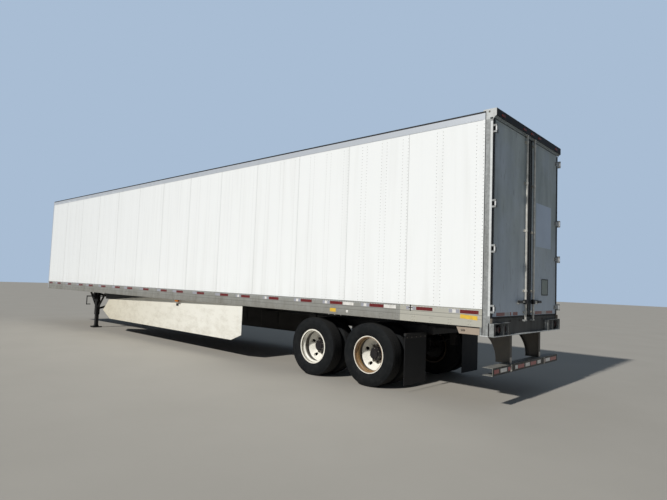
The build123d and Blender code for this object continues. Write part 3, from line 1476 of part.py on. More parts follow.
with BuildPart() as landing_braces:
    for start_x, start_y, end_x, end_y, below, sideways, widths in BRACES:
        start = Vector(start_x, start_y, BRACE_LOW)
        run = Vector(end_x, end_y, leg_top - below) - start
        with BuildSketch(Plane(origin=start, x_dir=sideways, z_dir=run)):
            Rectangle(*widths)
        extrude(amount=run.length)
    with BuildSketch(level(BRACE_LOW - LEG_OUTER)):
        with Locations((leg_x, LEG_Y), (leg_x, -LEG_Y)):
            Rectangle(LEG_OUTER, LEG_OUTER)
    extrude(amount=leg_top - BRACE_LOW + 2 * LEG_OUTER, mode=Mode.SUBTRACT)
    with BuildSketch(level(beam_bottom)):
        with Locations((leg_x, 0)):
            Rectangle(4 * brace_reach, WIDTH)
    extrude(amount=BEAM_H + DECK_T, mode=Mode.SUBTRACT)
save(landing_braces, "landing_braces")

# Cross shaft between the legs, and the crank on the road side
with BuildPart() as landing_crank:
    with BuildSketch(along(leg_in)):
        with Locations((leg_x, shaft_z)):
            Circle(SHAFT_R)
    extrude(amount=2 * leg_in)
    with BuildSketch(along(wing_out + GEARBOX_D)):
        with Locations((leg_x, shaft_z)):
            Circle(SHAFT_R)
    extrude(amount=-(CRANK_OUT - wing_out - GEARBOX_D))
    with BuildSketch(along(CRANK_OUT)):
        with Locations((leg_x, shaft_z)):
            Rectangle(2 * SHAFT_R, CRANK_ARM, align=(Align.CENTER, Align.MAX))
    extrude(amount=SHAFT_R)
    with BuildSketch(along(CRANK_OUT)):
        with Locations((leg_x, shaft_z - CRANK_ARM + SHAFT_R)):
            Circle(SHAFT_R * 0.8)
    extrude(amount=CRANK_GRIP)
save(landing_crank, "landing_crank")


# Side skirts: flat panels in three lengths, closer to the side at the rear than in front
skirt_length = max(ahead for ahead, down in SKIRT_OUTLINE)
skirt_turn = asin((SKIRT_INSET_FRONT - SKIRT_INSET_REAR) / skirt_length)
skirt_plane = Plane(
    origin=(SKIRT_REAR_X, side_y - SKIRT_INSET_REAR, 0),
    x_dir=(cos(skirt_turn), -sin(skirt_turn), 0),
    z_dir=(-sin(skirt_turn), -cos(skirt_turn), 0),
)


def side_skirt(side):
    """One skirt: its outline on the left side cut at the panel seams, mirrored for the right."""
    with BuildPart() as skirt:
        with BuildSketch(skirt_plane):
            with BuildLine():
                Polyline(*[(ahead, rail_bottom - down) for ahead, down in SKIRT_OUTLINE], close=True)
            make_face()
            for seam in SKIRT_SEAMS:
                with Locations((seam, 0)):
                    Rectangle(SEAM, 2 * rail_bottom, mode=Mode.SUBTRACT)
        extrude(amount=SKIRT_T)
        if side < 0:
            mirror(about=Plane.XZ, mode=Mode.REPLACE)
    return skirt


for side_name, side in SIDES.items():
    save(side_skirt(side), f"side_skirt_{side_name}")

# Skirt struts: bent plates from the crossmembers to the skirts' inner faces
strut_low = rail_bottom - SKIRT_STRUT_DROP
strut_bend = rail_bottom - SKIRT_STRUT_BEND
with BuildPart() as skirt_struts:
    for ahead in SKIRT_STRUT_AT:
        run = (beam_near(SKIRT_REAR_X + ahead) - SKIRT_REAR_X) / cos(skirt_turn)
        foot = skirt_plane.origin + skirt_plane.x_dir * run + skirt_plane.z_dir * SKIRT_T
        with BuildSketch(Plane(origin=foot, x_dir=skirt_plane.z_dir, z_dir=skirt_plane.x_dir * -1)):
            with BuildLine():
                Polyline(
                    (0, strut_low),
                    (SKIRT_STRUT_T, strut_low),
                    (SKIRT_STRUT_T, strut_bend),
                    (SKIRT_STRUT_IN, beam_bottom - SKIRT_STRUT_T),
                    (SKIRT_STRUT_IN + SKIRT_STRUT_FOOT, beam_bottom - SKIRT_STRUT_T),
                    (SKIRT_STRUT_IN + SKIRT_STRUT_FOOT, beam_bottom),
                    (SKIRT_STRUT_IN - SKIRT_STRUT_T / 2, beam_bottom),
                    (0, strut_bend + SKIRT_STRUT_T),
                    close=True,
                )
            make_face()
        extrude(amount=SKIRT_STRUT_W / 2, both=True)
    mirror(about=Plane.XZ)
save(skirt_struts, "skirt_struts")
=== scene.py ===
import math

import bpy
from mathutils import Matrix, Vector


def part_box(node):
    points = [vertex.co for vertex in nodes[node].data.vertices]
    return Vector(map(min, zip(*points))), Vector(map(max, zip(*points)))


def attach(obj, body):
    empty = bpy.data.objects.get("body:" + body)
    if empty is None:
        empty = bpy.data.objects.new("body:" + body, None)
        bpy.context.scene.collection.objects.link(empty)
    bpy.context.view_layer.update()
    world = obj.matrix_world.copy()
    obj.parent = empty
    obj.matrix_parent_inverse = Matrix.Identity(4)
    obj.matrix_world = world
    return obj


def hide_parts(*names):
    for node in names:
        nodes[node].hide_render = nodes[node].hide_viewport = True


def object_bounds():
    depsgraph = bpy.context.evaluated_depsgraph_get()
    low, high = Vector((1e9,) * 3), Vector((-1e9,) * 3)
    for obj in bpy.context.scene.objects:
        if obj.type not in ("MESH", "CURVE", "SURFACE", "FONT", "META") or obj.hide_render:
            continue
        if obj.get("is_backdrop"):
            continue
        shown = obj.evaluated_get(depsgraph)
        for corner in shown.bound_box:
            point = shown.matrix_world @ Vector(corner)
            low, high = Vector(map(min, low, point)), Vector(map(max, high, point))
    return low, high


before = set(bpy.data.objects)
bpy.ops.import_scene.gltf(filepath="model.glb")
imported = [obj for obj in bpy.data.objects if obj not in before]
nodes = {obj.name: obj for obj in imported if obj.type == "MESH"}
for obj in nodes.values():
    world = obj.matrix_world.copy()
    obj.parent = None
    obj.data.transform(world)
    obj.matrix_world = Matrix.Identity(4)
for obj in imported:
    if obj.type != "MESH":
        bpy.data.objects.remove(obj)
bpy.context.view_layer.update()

# The underframe: I-beam crossmembers, the coupler with its channels, slide rails, landing
# gear and skirt struts. Welded steel, sprayed with black chassis paint after assembly. Dust
# dulls it and settles on what faces up, so it is near black below and grey-brown on top.
SIDES = {"left": 1, "right": -1}
MM = 0.001
GRIT_DEPTH = 0.6 * MM


def srgb(hex_colour):
    """Linear colour of an sRGB hex value."""
    parts = [int(hex_colour[start:start + 2], 16) / 255 for start in (1, 3, 5)]
    return [part / 12.92 if part <= 0.04045 else ((part + 0.055) / 1.055) ** 2.4 for part in parts] + [1.0]


def main_output(source):
    """A socket as it is, or the output that a node is used for."""
    if isinstance(source, bpy.types.Node):
        return source.outputs[2 if source.bl_idname == "ShaderNodeMix" else 0]
    return source


def add(tree, kind, values=None, links=None, **settings):
    """Add one node: its settings, its plain socket values, and what feeds its other sockets."""
    made = tree.nodes.new("ShaderNode" + kind)
    if kind == "Mix":
        made.data_type = "RGBA"
    for key, value in settings.items():
        setattr(made, key, value)
    for socket, value in (values or {}).items():
        made.inputs[socket].default_value = value
    for socket, source in (links or {}).items():
        tree.links.new(main_output(source), made.inputs[socket])
    return made


def new_material(name, roughness, metallic=0.0, sockets=None):
    """Start a material: returns it with its node tree and its object coordinates."""
    made = bpy.data.materials.new(name)
    made.use_nodes = True
    shader = made.node_tree.nodes["Principled BSDF"]
    for socket, value in {"Roughness": roughness, "Metallic": metallic, **(sockets or {})}.items():
        shader.inputs[socket].default_value = value
    return made, made.node_tree, add(made.node_tree, "TexCoord").outputs["Object"]


def reopen(finish):
    """A finished material's tree, the tone that it has so far, and its object coordinates."""
    tree = finish.node_tree
    tone = tree.nodes["Principled BSDF"].inputs["Base Color"].links[0].from_socket
    return tree, tone, add(tree, "TexCoord").outputs["Object"]


def feed(tree, tone, rough=None, bump=None):
    """Feed the shader its tone, a roughness that a pattern moves between two values, and a bump."""
    links = {"Base Color": tone}
    if rough:
        pattern, smooth, matt = rough
        links["Roughness"] = add(tree, "MapRange", {"To Min": smooth, "To Max": matt}, {"Value": pattern})
    if bump:
        pattern, strength, depth = bump
        links["Normal"] = add(tree, "Bump", {"Strength": strength, "Distance": depth}, {"Height": pattern})
    for socket, source in links.items():
        tree.links.new(main_output(source), tree.nodes["Principled BSDF"].inputs[socket])


def face_direction(tree):
    """The direction that a face looks in, as its three parts."""
    return add(tree, "SeparateXYZ", links={"Vector": add(tree, "TexCoord").outputs["Normal"]})


def cover(names, finish):
    """Give CAD nodes one finish."""
    for name in names:
        for slot in nodes[name].material_slots:
            slot.material = finish


def dusted_paint(name, paint, dust, roughness, patch, grain, amount):
    """Paint with dust that lies thicker on upward faces: patch and grain are sizes in metres."""
    made, tree, place = new_material(name, roughness)
    patches = add(tree, "TexNoise", {"Scale": 1 / patch, "Detail": 6.0}, {"Vector": place})
    upward = face_direction(tree).outputs["Z"]
    lying = add(tree, "MapRange", {"From Min": -0.6, "To Min": 0.2}, {"Value": upward})
    spread = add(tree, "MapRange", {"From Min": 0.35, "From Max": 0.75, "To Max": amount}, {"Value": patches})
    cover_up = add(tree, "Math", None, {0: lying, 1: spread}, operation="MULTIPLY")
    tone = add(tree, "Mix", {6: srgb(paint), 7: srgb(dust)}, {0: cover_up})
    grit = add(tree, "TexNoise", {"Scale": 1 / grain, "Detail": 3.0}, {"Vector": place})
    feed(tree, tone, (cover_up, roughness, 0.92), (grit, 0.35, GRIT_DEPTH))
    return made


chassis_paint = dusted_paint("black_chassis_paint", "#111214", "#57524a", 0.5, 0.22, 6 * MM, 0.4)
cover(("crossmembers", "upper_coupler", "slide_rails", "landing_legs", "landing_feet", "landing_braces",
    "landing_crank", "skirt_struts", "slider_frame", "lock_pins", "leaf_springs", "spring_clamps",
    "spring_hangers", "axles", "brake_chambers", "air_tank", "flap_arms", "torque_rods"), chassis_paint)

# Bolts of the underframe: on the wings of the landing legs, the slide rails, the hangers and the springs.
# Hexagon heads with a flange, tightened before the frame was painted, so they wear the same black.


def deselect():
    """Leave edit mode and select nothing."""
    if bpy.context.object and bpy.context.object.mode != "OBJECT":
        bpy.ops.object.mode_set(mode="OBJECT")
    bpy.ops.object.select_all(action="DESELECT")


def select_only(pieces):
    """Select these objects, the first of them active."""
    deselect()
    for piece in pieces:
        piece.select_set(True)
    bpy.context.view_layer.objects.active = pieces[0]


def faces_where(piece, test):
    """In edit mode, select the faces whose middle and normal pass the test."""
    bpy.ops.object.mode_set(mode="OBJECT")
    for vert in piece.data.vertices:
        vert.select = False
    for edge in piece.data.edges:
        edge.select = False
    for face in piece.data.polygons:
        face.select = test(face.center, face.normal)
    bpy.ops.object.mode_set(mode="EDIT")


def copy_to(piece, move):
    """A copy of a piece with its own mesh, moved by an offset or by a matrix."""
    twin = piece.copy()
    twin.data = piece.data.copy()
    twin.data.transform(move if isinstance(move, Matrix) else Matrix.Translation(move))
    bpy.context.collection.objects.link(twin)
    return twin


def join(pieces):
    """Make one object of several."""
    select_only(pieces)
    if len(pieces) > 1:
        bpy.ops.object.join()
    return bpy.context.object


def settle(piece, name, finish, body="van_body"):
    """Name a finished piece, put its place into its mesh, and tie it to its body and its finish."""
    select_only([piece])
    bpy.ops.object.transform_apply(location=True, rotation=True, scale=True)
    piece.name = name
    piece.data.name = name
    piece.data.materials.clear()
    piece.data.materials.append(finish)
    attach(piece, body)
    return piece


def facing(place, normal):
    """The matrix that lays something made on the ground against a surface."""
    return Matrix.Translation(place) @ Vector(normal).to_track_quat("Z", "Y").to_matrix().to_4x4()


def blank(vertices, radius, height, middle_z, narrow):
    """A round or many-sided blank on the Z axis, its top face made narrower and left selected."""
    deselect()
    bpy.ops.mesh.primitive_cylinder_add(vertices=vertices, radius=radius, depth=height,
        location=(0, 0, middle_z))
    piece = bpy.context.object
    faces_where(piece, lambda middle, normal: normal.z > 0.9)
    bpy.ops.transform.resize(value=(narrow, narrow, 1.0))
    return piece


def hex_bolt(across, rise):
    """A hexagon head on its flange, standing on the ground at the origin."""
    flange = blank(12, across * 0.66, rise * 0.25, rise * 0.125, 0.88)
    head = blank(6, across * 0.577, rise * 0.75, rise * 0.625, 1.0)
    bpy.ops.mesh.bevel(offset=across * 0.07, segments=1, affect="EDGES")
    head = join([head, flange])
    bpy.ops.object.transform_apply(location=True, rotation=True, scale=True)
    return head


def spread_out(pattern, spots):
    """Copies of a pattern on all the spots, each a place and the normal there, joined; the pattern goes."""
    copies = [copy_to(pattern, facing(place, normal)) for place, normal in spots]
    bpy.data.objects.remove(pattern)
    return join(copies)


WING_BOLT_X = 0.12
leg_low, leg_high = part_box("landing_legs")
leg_x = (leg_low.x + leg_high.x) / 2
WING_FACE_Y = 0.908
WING_BOLT_DROPS = (0.04, 0.13, 0.22)
spots = [((leg_x + x, side * WING_FACE_Y, leg_high.z - drop), (0, side, 0)) for side in SIDES.values()
    for x in (-WING_BOLT_X, WING_BOLT_X) for drop in WING_BOLT_DROPS]
settle(spread_out(hex_bolt(24 * MM, 13 * MM), spots), "landing_gear_bolts", chassis_paint)

SLIDE_FACE_Y = 0.603
slide_low, slide_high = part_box("slide_rails")
RAIL_BOLT_PITCH = 0.3048
rail_bolts = int((slide_high.x - slide_low.x) // RAIL_BOLT_PITCH)
spots = [((slide_low.x + (count + 0.5) * RAIL_BOLT_PITCH, side * SLIDE_FACE_Y, slide_high.z - 22 * MM),
    (0, side, 0)) for side in SIDES.values() for count in range(rail_bolts)]
settle(spread_out(hex_bolt(19 * MM, 9 * MM), spots), "slide_rail_bolts", chassis_paint)

HANGER_FACE_Y = 0.605
HANGER_OUT = 1.15
HANGER_BOLT_X = 0.04
AXLE_Z = 0.505
axle_xs = {name: sum(corner.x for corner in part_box(f"hub_{name}_left")) / 2 for name in ("front", "rear")}
tandem_x = (axle_xs["front"] + axle_xs["rear"]) / 2
hanger_low, hanger_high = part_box("spring_hangers")
spots = [((tandem_x + out * HANGER_OUT + x, side * HANGER_FACE_Y, hanger_high.z - 28 * MM), (0, side, 0))
    for side in SIDES.values() for out in (-1, 0, 1) for x in (-HANGER_BOLT_X, HANGER_BOLT_X)]
spots += [((tandem_x + out * HANGER_OUT, side * (HANGER_FACE_Y + 8 * MM), hanger_low.z + 32 * MM),
    (0, side, 0)) for side in SIDES.values() for out in (0, 1)]
settle(spread_out(hex_bolt(30 * MM, 18 * MM), spots), "hanger_bolts", chassis_paint,
    "tandem_slider")

# The kingpin: one steel forging, machined where the jaws grip and smeared with dark grease.
# Turned steel with grease is a dark mirror broken by dull patches.


def clouded(name, roughness, metallic, cloud, detail, tones):
    """A material of two tones that change in clouds of a size in metres."""
    made, tree, place = new_material(name, roughness, metallic)
    pattern = add(tree, "TexNoise", {"Scale": 1 / cloud, "Detail": detail}, {"Vector": place})
    feed(tree, add(tree, "Mix", {6: srgb(tones[0]), 7: srgb(tones[1])}, {0: pattern}))
    return made


cover(("kingpin",), clouded("greased_forged_steel", 0.3, 0.9, 30 * MM, 4.0, ("#3a3733", "#8b8983")))

# The floor: hardwood boards, each laminated from narrow oak strips finger-jointed end to end and glued side
# by side. Freight has scuffed the varnish off, so it is matt, with strips of different tone 30 mm wide.
STRIP_W = 30 * MM
STRIP_L = 0.9


def drawn_noise(tree, place, scale, values):
    """Noise that is drawn out along an axis: scale is how often it changes in a metre along each."""
    laid = add(tree, "Mapping", {"Scale": scale}, {"Vector": place})
    return add(tree, "TexNoise", {"Scale": 1.0, **values}, {"Vector": laid})


oak, tree, place = new_material("laminated_oak", 0.6)
laid = add(tree, "Mapping", {"Scale": (1 / STRIP_L, 1 / STRIP_W, 0.0)}, {"Vector": place})
strips = add(tree, "TexBrick",
    {"Color1": srgb("#a97f52"), "Color2": srgb("#7f5a37"), "Mortar": srgb("#4b3826"), "Scale": 1.0,
    "Mortar Size": 0.02, "Brick Width": 1.0, "Row Height": 1.0}, {"Vector": laid}, offset_frequency=2)
grain = drawn_noise(tree, place, (4.0, 260.0, 60.0), {"Detail": 5.0})
worn = add(tree, "Mix", {7: srgb("#8f8171")}, {0: grain, 6: strips.outputs["Color"]})
feed(tree, worn, bump=(grain, 0.3, 0.5 * MM))
cover(("floor_deck",), oak)

# The rails and the front frame: aluminium extrusions, riveted to the sheets and left mill finish.
# Weather has oxidised them to a soft grey, with stains that run down and dirt thrown up along the lower edge.


def weathered_aluminium(name, bright, stained, low_z, high_z, roughness):
    """Oxidised aluminium, more stained towards low_z than at high_z."""
    made, tree, place = new_material(name, roughness, 0.35)
    streaks = drawn_noise(tree, place, (5.0, 5.0, 2.2), {"Detail": 8.0, "Roughness": 0.65})
    height = add(tree, "SeparateXYZ", links={"Vector": place}).outputs["Z"]
    low = add(tree, "MapRange", {"From Min": low_z, "From Max": high_z, "To Min": 0.22, "To Max": -0.1},
        {"Value": height})
    total = add(tree, "Math", None, {0: streaks, 1: low}, operation="ADD")
    dirt = add(tree, "MapRange", {"From Min": 0.42, "From Max": 1.05}, {"Value": total})
    tone = add(tree, "Mix", {6: srgb(bright), 7: srgb(stained)}, {0: dirt})
    mottle = add(tree, "TexNoise", {"Scale": 1 / (18 * MM), "Detail": 4.0}, {"Vector": place})
    feed(tree, tone, (dirt, roughness, 0.8), (mottle, 0.12, 0.5 * MM))
    return made


rail_low, rail_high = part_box("bottom_rail_left")
rail_aluminium = weathered_aluminium("mill_finish_aluminium", "#a5a59f", "#77736a", rail_low.z, rail_high.z,
    0.42)
upper_aluminium = weathered_aluminium("mill_finish_aluminium_clean", "#d3d8de", "#a3a8ad", 0.0, 1.0, 0.4)
cover(("bottom_rail_left", "bottom_rail_right"), rail_aluminium)
cover(("top_rail_left", "top_rail_right", "front_frame"), upper_aluminium)

# The rail's joint and dirt lines: its last length, behind the splice, is a newer one with less stain.
# Dirty water dries in a thin dark line under each rib of the extrusion and along the lap of the sheets.
RAIL_JOINT_X = -6.57
DIRT_LINES = ((1.262, 5 * MM), (1.206, 4 * MM), (1.350, 9 * MM))
tree, so_far, place = reopen(rail_aluminium)
place = add(tree, "SeparateXYZ", links={"Vector": place})
newer = add(tree, "Math", {1: RAIL_JOINT_X}, {0: place.outputs["X"]}, operation="LESS_THAN")
newer_part = add(tree, "Math", {1: 0.6}, {0: newer}, operation="MULTIPLY")
so_far = add(tree, "Mix", {7: srgb("#d6d3c4")}, {0: newer_part, 6: so_far})
for line_z, half_width in DIRT_LINES:
    away = add(tree, "Math", {1: line_z}, {0: place.outputs["Z"]}, operation="SUBTRACT")
    distance = add(tree, "Math", None, {0: away}, operation="ABSOLUTE")
    line = add(tree, "MapRange",
        {"From Min": half_width / 2, "From Max": half_width, "To Min": 0.55, "To Max": 0.0},
        {"Value": distance})
    so_far = add(tree, "Mix", {7: srgb("#4a4a48")}, {0: line, 6: so_far})
feed(tree, so_far)

# Rivets and bolts of the rails: aluminium rivets every 2 inches along the sheets' edges, domed by the set,
# and steel bolts in fours at the end of each crossmember. They have greyed with the rails.


def rivet(radius, rise):
    """One domed rivet head standing on the ground at the origin, open underneath."""
    head = blank(8, radius, rise, rise / 2, 0.55)
    faces_where(head, lambda middle, normal: normal.z < -0.9)
    bpy.ops.mesh.delete(type="ONLY_FACE")
    select_only([head])
    bpy.ops.object.transform_apply(location=True, rotation=True, scale=True)
    return head


def repeat(piece, count, step):
    """Repeat a piece in a row, step apart."""
    select_only([piece])
    row = piece.modifiers.new("row", "ARRAY")
    row.count = count
    row.use_relative_offset = False
    row.use_constant_offset = True
    row.constant_offset_displace = step
    bpy.ops.object.modifier_apply(modifier=row.name)


RIVET_R = 6.5 * MM
RIVET_RISE = 2.4 * MM
RIVET_PITCH = 50.8 * MM
BEAM_PITCH = 0.3048
BEAM_END_Z = 1.158
BEAM_BOLTS = (36 * MM, 50 * MM)
top_low, top_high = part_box("top_rail_left")
rail_length = rail_high.x - rail_low.x
for side_name, side in SIDES.items():
    rows = []
    for height in (rail_high.z - 20 * MM, top_low.z + 16 * MM):
        row = rivet(RIVET_R, RIVET_RISE)
        row.data.transform(facing((rail_low.x + RIVET_PITCH / 2, side * rail_high.y, height), (0, side, 0)))
        repeat(row, int(rail_length // RIVET_PITCH), (RIVET_PITCH, 0, 0))
        rows.append(row)
    settle(join(rows), f"rail_rivets_{side_name}", upper_aluminium)
    bolts = hex_bolt(16 * MM, 6 * MM)
    bolts.data.transform(facing((rail_low.x + (BEAM_PITCH - BEAM_BOLTS[0]) / 2, side * rail_high.y,
        BEAM_END_Z - BEAM_BOLTS[1] / 2), (0, side, 0)))
    repeat(bolts, 2, (BEAM_BOLTS[0], 0, 0))
    repeat(bolts, 2, (0, 0, BEAM_BOLTS[1]))
    repeat(bolts, int(rail_length // BEAM_PITCH), (BEAM_PITCH, 0, 0))
    settle(bolts, f"beam_end_bolts_{side_name}", rail_aluminium)

# The side sheets: aluminium 1.3 mm thick with white baked enamel outside,
# riveted to posts every 16 inches. The enamel is smooth and bright and the thin
# sheet waves a little between its rivets. Inside, plywood lines the posts.
POST_PITCH = 0.4064
ROW_GAP = 0.10
wall_low, wall_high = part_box("side_wall_left")
PLY_GRAIN = 12 * MM


def sheet_and_lining(name, across_axis):
    """White enamel outside and a plywood lining on what faces the middle of the trailer along one axis."""
    made, tree, place = new_material(name, 0.3, 0.0, {"Coat Weight": 0.25, "Coat Roughness": 0.12})
    streaks = drawn_noise(tree, place, (7.0, 7.0, 0.35), {"Detail": 6.0})
    height = add(tree, "SeparateXYZ", links={"Vector": place}).outputs["Z"]
    splash = add(tree, "MapRange",
        {"From Min": rail_high.z, "From Max": rail_high.z + 0.35, "To Min": 0.15, "To Max": 0.0},
        {"Value": height})
    total = add(tree, "Math", None, {0: streaks, 1: splash}, operation="ADD")
    dirt = add(tree, "MapRange", {"From Min": 0.5, "From Max": 1.2, "To Max": 0.35}, {"Value": total})
    enamel = add(tree, "Mix", {6: srgb("#f5f7f6"), 7: srgb("#b3b1a8")}, {0: dirt})
    ply_grain = drawn_noise(tree, place, (1.5, 1.5, 1 / PLY_GRAIN), {"Detail": 5.0, "Distortion": 1.2})
    plywood = add(tree, "Mix", {6: srgb("#b8935f"), 7: srgb("#8d6a41")}, {0: ply_grain})
    normal = face_direction(tree).outputs[across_axis]
    where = add(tree, "SeparateXYZ", links={"Vector": place}).outputs[across_axis]
    inward = add(tree, "Math", None, {0: normal, 1: where}, operation="MULTIPLY")
    inside = add(tree, "Math", {1: -0.4}, {0: inward}, operation="LESS_THAN")
    tone = add(tree, "Mix", None, {0: inside, 6: enamel, 7: plywood})
    wave = drawn_noise(tree, place, (1 / POST_PITCH, 1 / POST_PITCH, 0.8), {"Detail": 1.0})
    feed(tree, tone, (inside, 0.3, 0.75), (wave, 0.8, 6 * MM))
    return made


white_enamel = sheet_and_lining("white_baked_enamel", "Y")
front_enamel = sheet_and_lining("white_baked_enamel_front", "X")
cover(("side_wall_left", "side_wall_right"), white_enamel)
cover(("front_wall",), front_enamel)

# Rivets of the sheets: a double row at each post, with a grey collar of dirt
# that the rain leaves round each head. The rows behind the last post and on the
# front wall are single. Each head is drawn a little large so that it shows.
rivet_grey = weathered_aluminium("dirt_ringed_rivets", "#b9bab6", "#8f8e88", 0.0, 1.0, 0.5)
rivet_low = rail_high.z + 25 * MM
rivet_rows = int((top_low.z - 20 * MM - rivet_low) // RIVET_PITCH) + 1
LAST_POST = -6.585
REAR_ROWS = (-7.247, -7.147, -7.78)
LAP_ROW = -7.89
LAP_RISE = 6.4 * MM
pair_count = int((wall_high.x - 0.05 - LAST_POST) // POST_PITCH) + 1
for side_name, side in SIDES.items():
    row = rivet(RIVET_R, RIVET_RISE)
    row.data.transform(facing((0, side * wall_high.y, rivet_low), (0, side, 0)))
    repeat(row, rivet_rows, (0, 0, RIVET_PITCH))
    rows = [copy_to(row, (x, 0, 0)) for x in REAR_ROWS] + [copy_to(row, (LAP_ROW, side * LAP_RISE, 0))]
    row.data.transform(Matrix.Translation((LAST_POST - ROW_GAP / 2, 0, 0)))
    repeat(row, 2, (ROW_GAP, 0, 0))
    repeat(row, pair_count, (POST_PITCH, 0, 0))
    settle(join([row] + rows), f"wall_rivets_{side_name}", rivet_grey)

front_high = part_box("front_wall")[1]
FRONT_ROWS = 6
row = rivet(RIVET_R, RIVET_RISE)
row.data.transform(facing((front_high.x, -POST_PITCH * (FRONT_ROWS - 1) / 2, rivet_low), (1, 0, 0)))
repeat(row, rivet_rows, (0, 0, RIVET_PITCH))
repeat(row, FRONT_ROWS, (0, POST_PITCH, 0))
settle(row, "front_wall_rivets", rivet_grey)

# Seams of the sheets: where one 4 ft sheet laps the next, a bead of grey sealant was run down the edge.
# It is drawn 5 mm wide, wider than the real bead, so that the joint shows at this distance.


def block(low, high, bevel):
    """A plate or block between two corners, its edges bevelled."""
    corners = [[min(pair), max(pair)] for pair in zip(low, high)]
    size = [pair[1] - pair[0] for pair in corners]
    middle = [sum(pair) / 2 for pair in corners]
    deselect()
    bpy.ops.mesh.primitive_cube_add(size=1.0)
    made = bpy.context.object
    made.data.transform(Matrix.Translation(middle) @ Matrix.Diagonal((*size, 1.0)))
    bpy.ops.object.mode_set(mode="EDIT")
    bpy.ops.mesh.select_all(action="SELECT")
    bpy.ops.mesh.bevel(offset=bevel, segments=1, affect="EDGES")
    bpy.ops.object.mode_set(mode="OBJECT")
    return made


SHEET_W = 1.2192
SEAM_W = 5 * MM
seam_sealant = dusted_paint("grey_seam_sealant", "#a3a5a2", "#85837d", 0.7, 0.2, 4 * MM, 0.6)
seam_count = round((wall_high.x - wall_low.x) / SHEET_W) - 1
for side_name, side in SIDES.items():
    bead = block((wall_low.x + SHEET_W - SEAM_W / 2, side * (wall_high.y - 2 * MM), rail_high.z),
        (wall_low.x + SHEET_W + SEAM_W / 2, side * (wall_high.y + 1.2 * MM), top_low.z), 0.8 * MM)
    repeat(bead, seam_count, (SHEET_W, 0, 0))
    settle(bead, f"seam_sealant_{side_name}", seam_sealant)

# Rear laps: the last sheet and both rails run on over the rear post and end 38 mm behind its front edge.
# A black strip runs along the joint there, from the foot of the post to the roof: painted shade of the lap's
# edge.
LAP_FRONT = -7.868
LAP_END = -7.906
LAP_SHADE_W = 11 * MM
PLATE_SUNK = 0.3 * MM
LAPS = (
    # piece, where it starts and ends in height, finish and slot
    ("rail", rail_low.z, rail_high.z, rail_aluminium, "aluminium_extrusion"),
    ("sheet", rail_high.z, top_low.z, white_enamel, "side_sheet"),
    ("top", top_low.z, top_high.z, upper_aluminium, "aluminium_extrusion"),
)
# A near-black finish for the roof edges and for the strips that paint shade in the lap joints and the lamp
# box gaps.
black_sealant_and_shade = dusted_paint("black_sealant_and_painted_shade", "#17181a", "#4a4843", 0.6, 0.1, 3 * MM, 0.3)
post_y = rail_high.y
for side_name, side in SIDES.items():
    faces = (side * (post_y - PLATE_SUNK), side * (post_y + 1.4 * MM))
    for part, low_z, high_z, finish, slot in LAPS:
        lap = block((LAP_END, faces[0], low_z + PLATE_SUNK), (LAP_FRONT, faces[1], high_z - PLATE_SUNK),
            0.5 * MM)
        settle(lap, f"{part}_lap_{side_name}", finish)
    # The black strip at the lap's rear edge is painted shade.
    joint = block((LAP_END - LAP_SHADE_W, faces[0], 1.0),
        (LAP_END + 0.5 * MM, side * (post_y + 0.9 * MM), top_high.z), 0.3 * MM)
    settle(joint, f"post_lap_shade_{side_name}", black_sealant_and_shade)

# Roof edges: a dark strip 24 mm high along the top of each top rail, in the same near-black finish.
EDGE_H = 24 * MM
for side_name, side in SIDES.items():
    edge = block((LAP_END, side * (top_high.y - PLATE_SUNK), top_high.z - EDGE_H),
        (top_high.x, side * (top_high.y + 1.6 * MM), top_high.z), 0.6 * MM)
    settle(edge, f"roof_edge_{side_name}", black_sealant_and_shade)

# Reflective tape of the rails: red pieces 11 inches long, three to every two sheets,
# with white ones here and there. Glass-hard film over tiny prisms, stuck on clean
# metal; drawn as a thin plate with rounded edges, its cells coarser than real.
PRISM = 6 * MM
TAPE_T = 0.8 * MM
FILM_SUNK = 0.2 * MM
FILM_EDGE = 0.3 * MM


def prism_film(name, hex_colour, dust=0.5):
    """Reflective film: a clear coat over a fine lattice of cells, more or less dusty."""
    made, tree, place = new_material(name, 0.35, 0.0, {"Coat Weight": 0.6})
    cells = add(tree, "TexVoronoi", {"Scale": 1 / PRISM, "Randomness": 0.0}, {"Vector": place})
    dirt = add(tree, "TexNoise", {"Scale": 1 / (60 * MM), "Detail": 5.0}, {"Vector": place})
    dusty = add(tree, "MapRange", {"From Min": 0.4, "From Max": 0.9, "To Max": dust}, {"Value": dirt})
    tone = add(tree, "Mix", {6: srgb(hex_colour), 7: srgb("#77706a")}, {0: dusty})
    feed(tree, tone, bump=(cells.outputs["Distance"], 0.3, 0.3 * MM))
    return made


red_film = prism_film("red_reflective_film", "#66000a", 0.15)
white_film = prism_film("white_reflective_film", "#eceae4")
silver_film = prism_film("silver_reflective_film", "#a4a6b0")
yellow_film = prism_film("yellow_plain_film", "#e8bd38")
TAPE_FIRST = -7.577
TAPE_PERIOD = 2.46
TAPE_GROUPS = 7
TAPE_COUNT = 20
TAPE_STARTS = (0.0, 0.72, 1.60)
TAPE_L = 0.28
TAPE_H = 50 * MM
TAPE_Z = 1.300
rail_y = rail_high.y
red_fronts = [TAPE_FIRST + TAPE_PERIOD * group + start for group in range(TAPE_GROUPS)
    for start in TAPE_STARTS][:TAPE_COUNT]
SILVER_L = 0.165
SILVER_AHEAD = 0.175
SILVER_END_GAP = 0.2
silver_fronts = [front + SILVER_AHEAD for front in red_fronts if front + SILVER_END_GAP < rail_high.x]
WHITE_DOT = (56 * MM, 46 * MM)
DOTS_BEHIND = -2.4
WHITE_FRONTS = (-6.262, -5.413)
WHITE_L = 0.23
